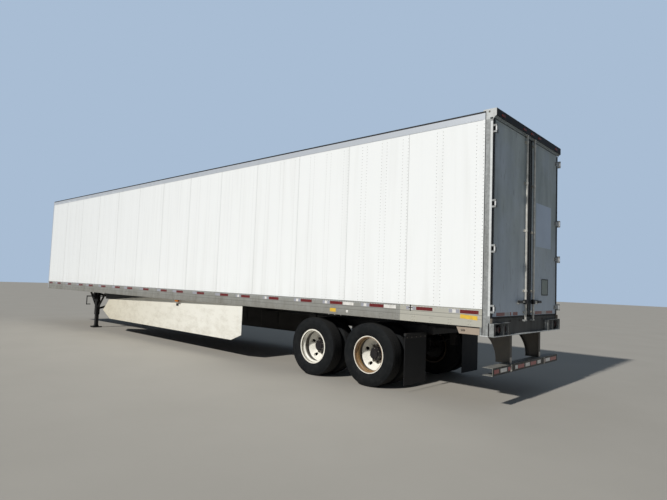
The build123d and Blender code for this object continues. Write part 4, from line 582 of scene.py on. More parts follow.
for side_name, side in SIDES.items():
    faces = (side * (rail_y - FILM_SUNK), side * (rail_y + TAPE_T))
    dots = [(front - SILVER_L / 2 + WHITE_DOT[0] / 2, WHITE_DOT[0], WHITE_DOT[1]) for front in silver_fronts
        if front < DOTS_BEHIND]
    if side_name == "left":
        dots += [(front, WHITE_L, TAPE_H) for front in WHITE_FRONTS]
    for film_name, film, pieces in (("red", red_film, [(front, TAPE_L, TAPE_H) for front in red_fronts]),
            ("silver", silver_film, [(front, SILVER_L, TAPE_H) for front in silver_fronts]),
            ("white", white_film, dots)):
        rise = 0.6 * MM if film_name == "white" else 0.0
        tapes = [block((front - length, faces[0], TAPE_Z - height / 2),
            (front, faces[1] + side * rise, TAPE_Z + height / 2), FILM_EDGE)
            for front, length, height in pieces]
        settle(join(tapes), f"{film_name}_rail_tape_{side_name}", film)

# Blank patches on the left side: two pieces of plain yellow film, stuck low on the rail.
# Nothing is printed on them.
faces = (rail_y - FILM_SUNK, rail_y + TAPE_T)
SLANT = math.radians(3)
PATCH_HALF = (0.13, 28 * MM)
FRONT_PATCH_X = (-5.26, -5.12)
FRONT_PATCH_Z = (1.145, 1.205)
PATCH_MIDDLE = Vector((-7.712, 0, 1.228))
slanted = block((-PATCH_HALF[0], faces[0], -PATCH_HALF[1]), (PATCH_HALF[0], faces[1], PATCH_HALF[1]),
    FILM_EDGE)
slanted.data.transform(Matrix.Translation(PATCH_MIDDLE) @ Matrix.Rotation(-SLANT, 4, "Y"))
patches = [slanted,
    block((FRONT_PATCH_X[0], faces[0], FRONT_PATCH_Z[0]), (FRONT_PATCH_X[1], faces[1], FRONT_PATCH_Z[1]),
    FILM_EDGE)]
settle(join(patches), "yellow_blank_patches", yellow_film)

# Rail fittings of the left side: a round clear reflector low on the rail,
# and a black steel hook near the rear. The reflector is a spun bowl of
# acrylic with a rounded rim; the hook is a bent flat bar held by one bolt.


def drawn(points):
    """A line of edges through the points, started from one vertex and extruded on; left in edit mode."""
    deselect()
    bpy.ops.mesh.primitive_plane_add(size=1.0)
    line = bpy.context.object
    bpy.ops.object.mode_set(mode="EDIT")
    bpy.ops.mesh.select_all(action="SELECT")
    bpy.ops.mesh.merge(type="CENTER")
    bpy.ops.transform.translate(value=points[0])
    for start, end in zip(points, points[1:]):
        bpy.ops.mesh.extrude_region_move(TRANSFORM_OT_translate={"value": Vector(end) - Vector(start)})
    return line


def spun(points, steps):
    """Turn an outline of radius and height round the Z axis, weld it and point its faces outwards."""
    line = drawn([(radius, 0, height) for radius, height in points])
    bpy.ops.mesh.select_all(action="SELECT")
    bpy.ops.mesh.spin(steps=steps, angle=math.tau, center=(0, 0, 0), axis=(0, 0, 1))
    bpy.ops.mesh.select_all(action="SELECT")
    bpy.ops.mesh.remove_doubles(threshold=0.02 * MM)
    bpy.ops.mesh.normals_make_consistent(inside=False)
    bpy.ops.object.mode_set(mode="OBJECT")
    return line


clear_lens, tree, place = new_material("clear_acrylic_lens", 0.15)
flutes = add(tree, "TexWave", {"Scale": 1 / (9 * MM)}, {"Vector": place})
tone = add(tree, "Mix", {6: srgb("#f3f1ea"), 7: srgb("#c9c7c0")}, {0: flutes.outputs["Fac"]})
feed(tree, tone)
REFLECTOR_X = -5.505
REFLECTOR_Z = 1.17
reflector = spun([(0, 4 * MM), (12 * MM, 3.6 * MM), (20 * MM, 2 * MM), (24 * MM, 0), (24 * MM, -1 * MM),
    (0, -1 * MM)], 20)
reflector.data.transform(facing((REFLECTOR_X, rail_y, REFLECTOR_Z), (0, 1, 0)))
settle(reflector, "clear_reflector", clear_lens)
HOOK_X = -6.757
HOOK_W = 18 * MM
HOOK_T = 8 * MM
HOOK_Z = (1.258, 1.352)
HOOK_BOLT_Z = 1.33
HOOK_BAR_X = (-40 * MM, 34 * MM)
HOOK_BAR_Z = (1.298, 1.312)
hook = join([block((HOOK_X - HOOK_W / 2, rail_y, HOOK_Z[0]),
    (HOOK_X + HOOK_W / 2, rail_y + HOOK_T, HOOK_Z[1]), 2 * MM),
    block((HOOK_X + HOOK_BAR_X[0], rail_y, HOOK_BAR_Z[0]),
    (HOOK_X + HOOK_BAR_X[1], rail_y + 5 * MM, HOOK_BAR_Z[1]), 1.5 * MM),
    spread_out(hex_bolt(13 * MM, 6 * MM), [((HOOK_X, rail_y + HOOK_T, HOOK_BOLT_Z), (0, 1, 0))])])
settle(hook, "rail_hook", chassis_paint)

# The roof: one thin aluminium sheet stretched over the rails and bonded to the bows. Left mill
# finish; it has dulled, the bows print through every 2 ft, and dirt dries in rings where rain stands.
BOW_PITCH = 0.6096
roof_aluminium, tree, place = new_material("mill_finish_roof_sheet", 0.5, 0.15)
rings = add(tree, "TexNoise", {"Scale": 2.2, "Detail": 7.0, "Roughness": 0.6}, {"Vector": place})
tone = add(tree, "Mix", {6: srgb("#d6d8da"), 7: srgb("#a09f9a")}, {0: rings})
bow_place = add(tree, "Mapping", {"Scale": (math.tau / BOW_PITCH / 20, 0.0, 0.0)}, {"Vector": place})
bows = add(tree, "TexWave", {"Scale": 1.0}, {"Vector": bow_place})
feed(tree, tone, bump=(bows.outputs["Fac"], 0.4, 4 * MM))
cover(("roof_panel",), roof_aluminium)

# The rear frame: posts, header and sill pressed and welded from steel, then hot-dip galvanised.
# Zinc freezes in crystals a few centimetres across that differ in tone. The posts have gone dull and stained,
# and the sill darker still where docks and dirty water reach it. Posts and header are painted dark on the
# faces that look neither sideways nor up: painted shade.
SPANGLE = 28 * MM
RECESS_X = -8.055


def galvanised_steel(name, pale, grey, stain_hex, spread, shade_hex=None, recess_hex=None):
    """Galvanised steel: crystals of two tones, stains that run down, and painted shade on faces that look
    neither sideways nor up.
    """
    made, tree, place = new_material(name, 0.5, 0.3)
    crystals = add(tree, "TexVoronoi", {"Scale": 1 / SPANGLE}, {"Vector": place})
    crystal_tone = add(tree, "SeparateColor", links={"Color": crystals.outputs["Color"]})
    zinc_tone = add(tree, "Mix", {6: srgb(pale), 7: srgb(grey)}, {0: crystal_tone})
    stains = drawn_noise(tree, place, (11.0, 11.0, 2.0), {"Detail": 8.0, "Roughness": 0.65})
    stain = add(tree, "MapRange", {"From Min": 0.45, "From Max": 0.8, "To Max": spread}, {"Value": stains})
    tone = add(tree, "Mix", {7: srgb(stain_hex)}, {0: stain, 6: zinc_tone})
    if shade_hex:
        # Faces that look neither sideways nor up get the darker tone: painted shade.
        normal = face_direction(tree)
        sideways = add(tree, "Math", None, {0: normal.outputs["Y"]}, operation="ABSOLUTE")
        lit_facing = add(tree, "Math", None, {0: sideways, 1: normal.outputs["Z"]}, operation="MAXIMUM")
        shaded_faces = add(tree, "MapRange", {"From Min": 0.35, "From Max": 0.8, "To Min": 1.0, "To Max": 0.0},
            {"Value": lit_facing})
        painted_shade = add(tree, "Mix", {6: srgb(shade_hex), 7: srgb("#55534f")}, {0: stain})
        if recess_hex:
            behind = add(tree, "SeparateXYZ", links={"Vector": place}).outputs["X"]
            recessed = add(tree, "Math", {1: RECESS_X}, {0: behind}, operation="GREATER_THAN")
            painted_shade = add(tree, "Mix", {7: srgb(recess_hex)}, {0: recessed, 6: painted_shade})
        tone = add(tree, "Mix", None, {0: shaded_faces, 6: tone, 7: painted_shade})
    feed(tree, tone, (stain, 0.45, 0.85))
    return made


ZINC_TONES = ("#929594", "#a9acab", "#5a5752", 0.85)
# On the posts, faces that look neither sideways nor up are painted near black: painted shade.
galvanised = galvanised_steel("hot_dip_galvanised_steel", *ZINC_TONES, "#101113")

# The gusset under each rail is a plate of bare steel welded
# to the post; it has browned, and a dark band just under the rail is painted shadow of the rail's edge.
tree, zinc_so_far, place = reopen(galvanised)
place = add(tree, "SeparateXYZ", links={"Vector": place})
below = add(tree, "Math", {1: rail_low.z + 1 * MM}, {0: place.outputs["Z"]}, operation="LESS_THAN")
forward = add(tree, "Math", {1: wall_low.x + 1 * MM}, {0: place.outputs["X"]}, operation="GREATER_THAN")
on_gusset = add(tree, "Math", None, {0: below, 1: forward}, operation="MULTIPLY")
GUSSET_SHADOW_START = rail_low.z - 22 * MM
rail_shadow_ramp = add(tree, "MapRange", {"From Min": GUSSET_SHADOW_START, "From Max": rail_low.z - 14 * MM},
    {"Value": place.outputs["Z"]})
brown_and_rail_shadow = add(tree, "Mix", {6: srgb("#b0a190"), 7: srgb("#2a2723")}, {0: rail_shadow_ramp})
with_gusset = add(tree, "Mix", None, {0: on_gusset, 6: zinc_so_far, 7: brown_and_rail_shadow})
feed(tree, with_gusset)
sill_steel = galvanised_steel("dock_worn_galvanised_steel", *ZINC_TONES, "#3d3e3d")
# Header and hinge straps keep pale zinc on faces that look sideways or up; the rest is painted shade, near
# black on the header and door grey on the straps. Recessed faces behind the header's hood get a pale door
# grey.
header_steel = galvanised_steel("galvanised_steel_painted_shade", "#bfc2c1", "#cdd0cf", "#8b8881", 0.6, "#171616",
    "#a4adb1")
strap_steel = galvanised_steel("strap_steel_painted_shade", "#dcdddc", "#ecedec", "#8b8881", 0.5, "#80898d")
cover(("hinge_straps_left", "hinge_straps_right"), strap_steel)
cover(("rear_post_left", "rear_post_right"), galvanised)
cover(("rear_sill",), sill_steel)
cover(("rear_header",), header_steel)

# Post strips: the rear edge of each post's side is doubled by a flat galvanised
# strip, tacked on along its edges. Below it a black strip is painted shade of the
# gap that parts the post from its lamp box, and a steel pad above the box takes the dock's bumper.
# Pale zinc of the post strips and foot edges, also a painted highlight on the sill lip.
pale_zinc_and_highlight = galvanised_steel("pale_galvanised_strip_and_highlight", "#d8dbda", "#e6e8e7", "#8b8881", 0.5)
bolt_zinc = galvanised_steel("rust_stained_zinc", "#7b746b", "#8d867c", "#5a3c28", 0.9)
post_low, post_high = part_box("rear_post_left")
POST_REAR_X = -8.020
BOX_TOP_Z = 1.165
STRIP_FOOT_Z = 1.26
STRIP_X = (1 * MM, 33 * MM)
GAP_SHADE_X = (7 * MM, 26 * MM)
PAD_T = 24 * MM
PAD_Y = (1 * MM, 46 * MM)
PAD_Z = (2 * MM, 66 * MM)
FOOT_EDGE_H = 11 * MM
for side_name, side in SIDES.items():
    strip = block((POST_REAR_X + STRIP_X[0], side * (post_y - PLATE_SUNK), STRIP_FOOT_Z),
        (POST_REAR_X + STRIP_X[1], side * (post_y + 2.0 * MM), post_high.z - 0.03), 0.8 * MM)
    settle(strip, f"post_strip_{side_name}", pale_zinc_and_highlight)
    # The black strip is painted shade of the gap.
    gap = block((POST_REAR_X + GAP_SHADE_X[0], side * (post_y - PLATE_SUNK), post_low.z + 8 * MM),
        (POST_REAR_X + GAP_SHADE_X[1], side * (post_y + 0.9 * MM), BOX_TOP_Z), 0.3 * MM)
    settle(gap, f"lamp_box_gap_shade_{side_name}", black_sealant_and_shade)
    pad = block((POST_REAR_X - PAD_T, side * (post_y - PAD_Y[1]), BOX_TOP_Z + PAD_Z[0]),
        (POST_REAR_X, side * (post_y - PAD_Y[0]), BOX_TOP_Z + PAD_Z[1]), 4 * MM)
    settle(pad, f"corner_pad_{side_name}", bolt_zinc)
    foot = block((POST_REAR_X + 28 * MM, side * (post_y - PLATE_SUNK), post_low.z),
        (wall_low.x - 4 * MM, side * (post_y + 1.2 * MM), post_low.z + FOOT_EDGE_H), 0.5 * MM)
    settle(foot, f"post_foot_edge_{side_name}", pale_zinc_and_highlight)

# Sill lip: the lower edge of the sill, turned back under it where the steel was pressed.
# The pale strip zinc on it is a painted highlight along the lip.
LIP_H = 12 * MM
LIP_RUN = 30 * MM
LIP_Y = 1.29
sill_low, sill_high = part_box("rear_sill")
lip = block((sill_low.x - 1.2 * MM, -LIP_Y, sill_low.z - 0.5 * MM),
    (sill_low.x + LIP_RUN, LIP_Y, sill_low.z + LIP_H), 1 * MM)
settle(lip, "sill_lip_highlight", pale_zinc_and_highlight)

# Bolts of the rear frame: two on each gusset, one at each post's head and four along the sill, plated steel.
# They hold the gussets to the rails and the header to the posts. Those of the sill were painted black.
GUSSET_FACE_Y = 1.2854
GUSSET_BOLTS_X = (-7.602, -7.636)
GUSSET_BOLT_Z = 1.047
HEAD_BOLT = (-7.964, 4.079)
SILL_BOLTS_Y = (0.30, 0.62)
spots = [((x, side * GUSSET_FACE_Y, GUSSET_BOLT_Z), (0, side, 0)) for side in SIDES.values()
    for x in GUSSET_BOLTS_X]
spots += [((HEAD_BOLT[0], side * post_y, HEAD_BOLT[1]), (0, side, 0)) for side in SIDES.values()]
settle(spread_out(hex_bolt(22 * MM, 9 * MM), spots), "rear_frame_bolts", bolt_zinc)
spots = [((POST_REAR_X, side * y, sill_high.z - 0.06), (-1, 0, 0)) for side in SIDES.values()
    for y in SILL_BOLTS_Y]
settle(spread_out(hex_bolt(22 * MM, 9 * MM), spots), "sill_bolts", chassis_paint)

# The doors: composite leaves with painted steel skins, white once and now greyed and scuffed. Old paint
# goes matt; hands, rods and rain have left darker runs under the fittings. The inner skin stays pale.


def layer(tree, tone, hex_colour, pattern, start, end, amount):
    """Lay a colour over a tone, from none at a pattern's start value to an amount at its end value."""
    mask = add(tree, "MapRange", {"From Min": start, "From Max": end, "To Max": amount}, {"Value": pattern})
    return add(tree, "Mix", {7: srgb(hex_colour)}, {0: mask, 6: tone})


door_paint, tree, place = new_material("weathered_door_paint", 0.45)
runs = drawn_noise(tree, place, (3.0, 3.0, 0.7), {"Detail": 8.0, "Roughness": 0.62})
fade = add(tree, "MapRange", {"From Min": 0.3, "From Max": 0.75}, {"Value": runs})
tone = add(tree, "Mix", {6: srgb("#bfc8c8"), 7: srgb("#8f9a9b")}, {0: fade})
door_z = add(tree, "SeparateXYZ", links={"Vector": place}).outputs["Z"]
# Paler and bluer towards the bottom: painted light from the bright floor.
tone = layer(tree, tone, "#c3cfde", door_z, 2.6, 1.3, 0.75)
cloud = add(tree, "TexNoise", {"Scale": 1.4, "Detail": 4.0, "Roughness": 0.55}, {"Vector": place})
tone = layer(tree, tone, "#c0cbd9", cloud, 0.45, 0.7, 0.6)
scuffs = drawn_noise(tree, place, (30.0, 30.0, 6.0), {"Detail": 4.0})
marked = layer(tree, tone, "#858c90", scuffs, 0.62, 0.7, 0.5)
normal = face_direction(tree)
kept = layer(tree, marked, "#dfe0da", normal.outputs["X"], 0.3, 0.5, 0.75)
feed(tree, kept)
cover(("door_panel_left", "door_panel_right"), door_paint)

# Door seals: an extruded black rubber lip round each leaf, riveted to its edge, that presses on the frame.
# Rubber is matt and nearly black, with a bloom of dust.
SEAL_HINGE = 10 * MM
SEAL_MEET = {"left": ((0.0, 0.040),), "right": ((0.0, 0.050), (0.064, 0.118))}
SEAL_FOOT = 20 * MM
SEAL_HEAD = 6 * MM
SEAL_T = 3 * MM
seal_rubber = dusted_paint("extruded_seal_rubber", "#0d0e0f", "#33312d", 0.6, 0.1, 3 * MM, 0.3)
door_bodies = {"left": "door_left", "right": "door_right"}
for side_name, side in SIDES.items():
    low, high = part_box(f"door_panel_{side_name}")
    faces = (low.x - SEAL_T, low.x + 0.2 * MM)
    meet_y, hinge_y = sorted((low.y, high.y), key=abs)
    lips = [block((faces[0], meet_y + side * near, low.z - 3 * MM), (faces[1], meet_y + side * far, high.z),
        1 * MM) for near, far in SEAL_MEET[side_name]]
    lips += [block((faces[0], hinge_y - side * SEAL_HINGE, low.z - 3 * MM), (faces[1], hinge_y, high.z),
        1 * MM), block((faces[0], low.y, low.z - 3 * MM), (faces[1], high.y, low.z + SEAL_FOOT), 1 * MM),
        block((faces[0], low.y, high.z - SEAL_HEAD), (faces[1], high.y, high.z), 1 * MM)]
    settle(join(lips), f"door_seal_{side_name}", seal_rubber, door_bodies[side_name])

# Door tape and the pale patch: red and white film low on both leaves, and on the right leaf a rectangle of
# newer paint where a plate was taken off. The patch is left bare.
door_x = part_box("door_panel_left")[0].x
DOOR_TAPE_Z = (1.258, 1.306)
DOOR_RED = {"left": ((1.10, 0.83), (0.645, 0.60), (0.54, 0.37)), "right": ((-0.31, -0.60), (-0.80, -1.09))}
DOOR_WHITE = {"left": ((0.83, 0.66),), "right": ((-0.60, -0.80),)}
door_red_film = prism_film("faded_red_film", "#74101a", 0.25)
door_white_film = prism_film("dulled_white_film", "#9aa0a6")


def tapes_across(x, spans, low_z, high_z):
    """Tape on a face that looks back, each piece from one place across to another, joined."""
    return join([block((x - TAPE_T, start, low_z), (x + FILM_SUNK, end, high_z), FILM_EDGE)
        for start, end in spans])


for side_name in SIDES:
    for film_name, film, spans in (("red", door_red_film, DOOR_RED[side_name]),
            ("white", door_white_film, DOOR_WHITE[side_name])):
        settle(tapes_across(door_x, spans, *DOOR_TAPE_Z), f"{film_name}_door_tape_{side_name}",
            film, door_bodies[side_name])
patch_paint = dusted_paint("newer_door_paint", "#c8d6e8", "#a6b2c0", 0.4, 0.5, 5 * MM, 0.6)
PATCH_T = 0.6 * MM
PATCH_Y = (-0.32, -0.99)
PATCH_Z = (2.33, 3.03)
patch = block((door_x - PATCH_T, PATCH_Y[0], PATCH_Z[0]), (door_x + FILM_SUNK, PATCH_Y[1], PATCH_Z[1]),
    FILM_EDGE)
settle(patch, "blank_door_patch", patch_paint, "door_right")

# Lock rods and service connections: zinc-plated steel fittings; the placard frame is bare metal gone dull.
# The plating is thin and bright where it is rubbed and grey where it has weathered.
zinc_plate = clouded("zinc_plated_steel", 0.4, 0.3, 60 * MM, 6.0, ("#eae8e0", "#98958c"))
cover(("lock_rod_left", "lock_rod_right", "service_connections"), zinc_plate)
placard_paint = dusted_paint("aged_placard_metal", "#98a19b", "#7d8580", 0.5, 0.08, 4 * MM, 0.8)
placard_low, placard_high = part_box("placard_frame")
tree, face_tone, place = reopen(placard_paint)
centred = add(tree, "Mapping", {"Location": -(placard_low + placard_high) / 2}, {"Vector": place})
offsets = add(tree, "VectorMath", None, {0: centred}, operation="ABSOLUTE")
sides = add(tree, "SeparateXYZ", links={"Vector": offsets})
PLACARD_EDGE = 14 * MM
reach = (placard_high - placard_low) / 2
past = [add(tree, "Math", {1: half - PLACARD_EDGE}, {0: sides.outputs[axis]}, operation="GREATER_THAN")
    for axis, half in (("Y", reach.y), ("Z", reach.z))]
rim = add(tree, "Math", None, {0: past[0], 1: past[1]}, operation="MAXIMUM")
rimmed = add(tree, "Mix", {7: srgb("#2b2f30")}, {0: rim, 6: face_tone})
feed(tree, rimmed)
cover(("placard_frame",), placard_paint)

# Door bolts and handle gear: three bolts in each strap, two in each rod guide, all zinc plated.
# The handle has a grip of dipped black vinyl, and so has the clamp that holds it to the rod.
HINGE_ZS = (1.36, 2.175, 2.79, 3.83)
GUIDE_ZS = (1.30, 1.62, 2.53, 3.26, 3.90)
STRAP_Y = 1.175
ROD_Y = 0.15
GUIDE_BOLT = 28 * MM
HANDLE_Z = 1.455
GRIP_Y = (0.155, 0.298)
GRIP_HALF = 20 * MM
CLAMP_Y = (-30 * MM, 34 * MM)
CLAMP_HALF = 34 * MM
handle_vinyl = dusted_paint("dipped_black_vinyl", "#0e0f11", "#3f3c38", 0.35, 0.08, 3 * MM, 0.3)
for side_name, side in SIDES.items():
    strap_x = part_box(f"hinge_straps_{side_name}")[1].x - 6 * MM
    spots = [((strap_x, side * (STRAP_Y + y), z + up), (-1, 0, 0)) for z in HINGE_ZS
        for y, up in ((0.0, 0.016), (0.0, -0.016), (0.032, 0.0))]
    spots += [((door_x - 5 * MM, side * (ROD_Y + y), z), (-1, 0, 0)) for z in GUIDE_ZS
        for y in (-GUIDE_BOLT, GUIDE_BOLT)]
    settle(spread_out(hex_bolt(13 * MM, 6 * MM), spots), f"door_bolts_{side_name}", bolt_zinc,
        door_bodies[side_name])
    rod_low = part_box(f"lock_rod_{side_name}")[0]
    grip = block((rod_low.x - 4 * MM, side * (ROD_Y + GRIP_Y[0]), HANDLE_Z - GRIP_HALF),
        (rod_low.x + 20 * MM, side * (ROD_Y + GRIP_Y[1]), HANDLE_Z + GRIP_HALF), 7 * MM)
    hub_clamp = block((rod_low.x - 3 * MM, side * (ROD_Y + CLAMP_Y[0]), HANDLE_Z - CLAMP_HALF),
        (door_x - 8 * MM, side * (ROD_Y + CLAMP_Y[1]), HANDLE_Z + CLAMP_HALF), 6 * MM)
    settle(join([grip, hub_clamp]), f"handle_grip_{side_name}", handle_vinyl,
        door_bodies[side_name])

# The lamps: red and amber lenses moulded in acrylic, with fine flutes inside that catch the light.
# Clear coloured plastic looks deep, with a hard highlight. The marker lamps across the header are a dark red.
RED_LENS_BEHIND = -7.99
LENSES = (
    # material, tone, tone in its flutes, tone across the header, node
    ("red_acrylic_lens", "#3a070a", "#170203", None, "tail_lamps"),
    ("amber_acrylic_lens", "#e08a25", "#9c4f0e", "#6e2a1d", "marker_lamps"),
)
for lens_name, lens_hex, dark_hex, rear_hex, lens_node in LENSES:
    lens, tree, place = new_material(lens_name, 0.12)
    ribs = add(tree, "TexWave", {"Scale": 1 / (14 * MM)}, {"Vector": place}).outputs["Fac"]
    tone = add(tree, "Mix", {6: srgb(lens_hex), 7: srgb(dark_hex)}, {0: ribs})
    if rear_hex:
        along = add(tree, "SeparateXYZ", links={"Vector": place}).outputs["X"]
        at_rear = add(tree, "Math", {1: RED_LENS_BEHIND}, {0: along}, operation="LESS_THAN")
        tone = add(tree, "Mix", {7: srgb(rear_hex)}, {0: at_rear, 6: tone})
    feed(tree, tone, bump=(ribs, 0.3, 1 * MM))
    cover((lens_node,), lens)

# Grommets of the tail lamps: a moulded black rubber ring
# with a rolled lip that holds each lens in its pocket.
TAIL_R = 51 * MM
TAIL_Y = (0.878, 1.055, 1.180)
lamp_low, lamp_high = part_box("tail_lamps")
lamp_z = (lamp_low.z + lamp_high.z) / 2
ring = spun([(TAIL_R - 4 * MM, 2 * MM), (TAIL_R + 1 * MM, 5 * MM), (TAIL_R + 6 * MM, 2 * MM),
    (TAIL_R + 7 * MM, -6 * MM), (TAIL_R - 4 * MM, -6 * MM), (TAIL_R - 4 * MM, 2 * MM)], 32)
spots = [((lamp_low.x, side * y, lamp_z), (-1, 0, 0)) for side in SIDES.values() for y in TAIL_Y]
settle(spread_out(ring, spots), "tail_lamp_grommets", seal_rubber)

# Pocket liners: a black rubber mat behind the lamps in
# each pocket of the lamp boxes, which the grommets sit in.
# Their black also stands for the shade deep in the pockets: painted shade.
POCKETS = ((0.821, 0.935), (0.991, 1.244))
POCKET_Z = (1.000, 1.150)
mats = [block((lamp_high.x - 2 * MM, side * near, POCKET_Z[0]),
    (lamp_high.x + 0.3 * MM, side * far, POCKET_Z[1]), 0.5 * MM) for side in SIDES.values()
    for near, far in POCKETS]
settle(join(mats), "lamp_pocket_liners_and_shade", seal_rubber)

# The underride guard: a channel bar and two struts in grey paint, scraped on docks and starting to rust.
# Red and white film alternates along the bar's rear face between its two turned edges.
guard_paint = dusted_paint("scraped_grey_paint", "#54504a", "#736b5e", 0.5, 0.12, 5 * MM, 0.7)
# Painted shade on the bar's faces that look neither sideways nor up; its tops keep the pale zinc.
bar_steel = galvanised_steel("scraped_guard_steel_and_painted_shade", "#8e8d86", "#a2a199", "#55504a", 0.9, "#3f3e3b")
cover(("guard_bar",), bar_steel)
cover(("guard_struts",), guard_paint)
bar_low, bar_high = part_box("guard_bar")
bar_z = (bar_low.z + bar_high.z) / 2
GUARD_TAPE_H = 54 * MM
GUARD_TAPES = {
    # where each piece starts and ends across the bar, from its left end, m
    "red": ((1.20, 1.05), (0.75, 0.66), (0.40, 0.17), (-0.08, -0.31), (-0.63, -0.70), (-0.925, -1.20)),
    "white": ((1.00, 0.79), (0.50, 0.41), (0.12, -0.05), (-0.36, -0.50), (-0.71, -0.91)),
}
guard_red_film = prism_film("scraped_red_film", "#980d19", 0.25)
for film_name, film in (("red", guard_red_film), ("white", white_film)):
    settle(tapes_across(bar_low.x, GUARD_TAPES[film_name], bar_z - GUARD_TAPE_H / 2,
        bar_z + GUARD_TAPE_H / 2), f"{film_name}_guard_tape", film)

# Guard foot plates: a flat plate over the bar beside each strut, with two bolts, and
# a doubler on the strut's foot. Bare galvanised steel, brighter than the painted bar.
FOOT_Y = 0.645
FOOT_HALF = 22 * MM
FOOT_T = 5 * MM
FOOT_BOLT_Z = 28 * MM
DOUBLER_T = 4 * MM
DOUBLER_H = 85 * MM
STRUT_Y = 0.56
STRUT_HALF = 33 * MM
strut_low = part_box("guard_struts")[0]
plates = []
for side in SIDES.values():
    plates.append(block((bar_low.x - FOOT_T, side * FOOT_Y - FOOT_HALF, bar_low.z + 3 * MM),
        (bar_low.x, side * FOOT_Y + FOOT_HALF, bar_high.z - 2 * MM), 1.2 * MM))
    plates.append(spread_out(hex_bolt(17 * MM, 9 * MM),
        [((bar_low.x - FOOT_T, side * FOOT_Y, bar_z + z), (-1, 0, 0)) for z in (-FOOT_BOLT_Z, FOOT_BOLT_Z)]))
    plates.append(block((strut_low.x - DOUBLER_T, side * STRUT_Y - STRUT_HALF, bar_high.z + 1 * MM),
        (strut_low.x, side * STRUT_Y + STRUT_HALF, bar_high.z + DOUBLER_H), 1 * MM))
foot_zinc = galvanised_steel("dirty_galvanised_plate", "#b3aea6", "#c2bdb4", "#6b655b", 0.6)
settle(join(plates), "guard_foot_plates", foot_zinc)

# The mud flaps: moulded rubber sheet hung from the arms behind the tyres, held by a clamping strip and bolts.
# The rubber is blue-black and matt, with mud sprayed up from its lower edge.
flap_rubber = dusted_paint("moulded_flap_rubber", "#08090d", "#1b1b1d", 0.6, 0.3, 3 * MM, 0.5)
cover(("mud_flaps",), flap_rubber)
flap_low, flap_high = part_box("mud_flaps")
FLAP_IN = 0.608
FLAP_BOLTS = 5
FLAP_BOLT_IN = 0.05
STRIP_H = 38 * MM
STRIP_IN = 15 * MM
STRIP_DROP = 5 * MM
STRIP_OUT = 4 * MM
strips = [block((flap_low.x - STRIP_OUT, side * (FLAP_IN + STRIP_IN), flap_high.z - STRIP_H - STRIP_DROP),
    (flap_low.x, side * (flap_high.y - STRIP_IN), flap_high.z - STRIP_DROP), 1 * MM)
    for side in SIDES.values()]
settle(join(strips), "flap_clamping_strips", chassis_paint, "tandem_slider")
bolt_step = (flap_high.y - FLAP_IN - 2 * FLAP_BOLT_IN) / (FLAP_BOLTS - 1)
spots = [((flap_low.x - STRIP_OUT, side * (FLAP_IN + FLAP_BOLT_IN + bolt_step * count),
    flap_high.z - STRIP_H / 2 - STRIP_DROP), (-1, 0, 0)) for side in SIDES.values()
    for count in range(FLAP_BOLTS)]
settle(spread_out(hex_bolt(15 * MM, 7 * MM), spots), "flap_bolts", bolt_zinc, "tandem_slider")

# The tyres: radial trailer tyres with four grooves in the tread and notches round both shoulders.
# Moulded rubber, dull black on the sidewalls and greyer on the worn ribs. They replace the plain solids.
TYRE_R = 505 * MM
TWIN_HALF = 171.45 * MM
TRACK_HALF = 984.25 * MM
GROOVES = (25 * MM, 70 * MM)
GROOVE_HALF = 5.5 * MM
GROOVE_FLOOR = 3.5 * MM
GROOVE_DEPTH = 11 * MM
SIDEWALL = (
    # half width, radius, mm
    (112.0, 501.5),
    (118.0, 496.0),
    (123.0, 480.0),
    (128.5, 462.0),
    (131.5, 458.0),
    (136.0, 430.0),
    (138.6, 400.0),
    (138.0, 368.0),
    (134.0, 342.0),
    (130.5, 334.0),
    (124.0, 318.0),
    (116.5, 307.0),
    (114.0, 303.5),
    (108.0, 292.0),
    (100.0, 287.5),
)
SHOULDER = (95 * MM, 111 * MM)
TYRE_STEPS = 144
NOTCH_STEP = math.tau / TYRE_STEPS
half_line = []
for groove in GROOVES:
    half_line += [(groove - GROOVE_HALF, TYRE_R), (groove - GROOVE_FLOOR, TYRE_R - GROOVE_DEPTH),
        (groove + GROOVE_FLOOR, TYRE_R - GROOVE_DEPTH), (groove + GROOVE_HALF, TYRE_R)]
half_line.append((94 * MM, TYRE_R - 1.2 * MM))
half_line += [(half_width * MM, radius * MM) for half_width, radius in SIDEWALL]
outline = [(radius, -half_width) for half_width, radius in reversed(half_line)]
outline += [(radius, half_width) for half_width, radius in half_line]
tyre = spun(outline + outline[:1], TYRE_STEPS)


def shoulder_notch(middle, normal):
    """Whether a face is one of every second one on the outer ribs."""
    turn = int(round(math.atan2(middle.y, middle.x) / NOTCH_STEP * 2 - 0.5)) // 2
    outward = normal.x * middle.x + normal.y * middle.y > 0
    return SHOULDER[0] < abs(middle.z) < SHOULDER[1] and outward and turn % 2 == 0


faces_where(tyre, shoulder_notch)
bpy.ops.mesh.inset(thickness=6 * MM, use_individual=True)
bpy.ops.transform.shrink_fatten(value=-5 * MM)
select_only([tyre])
bpy.ops.object.shade_smooth_by_angle(angle=math.radians(32))
tyre.data.transform(Matrix.Rotation(math.radians(90), 4, "X"))


def around_axle(tree, place, axle_x):
    """Distance from an axle's line, which a wheel's pattern follows."""
    centred = add(tree, "Mapping", {"Location": (-axle_x, 0.0, -AXLE_Z), "Scale": (1.0, 0.0, 1.0)},
        {"Vector": place})
    return add(tree, "VectorMath", links={0: centred}, operation="LENGTH").outputs["Value"]


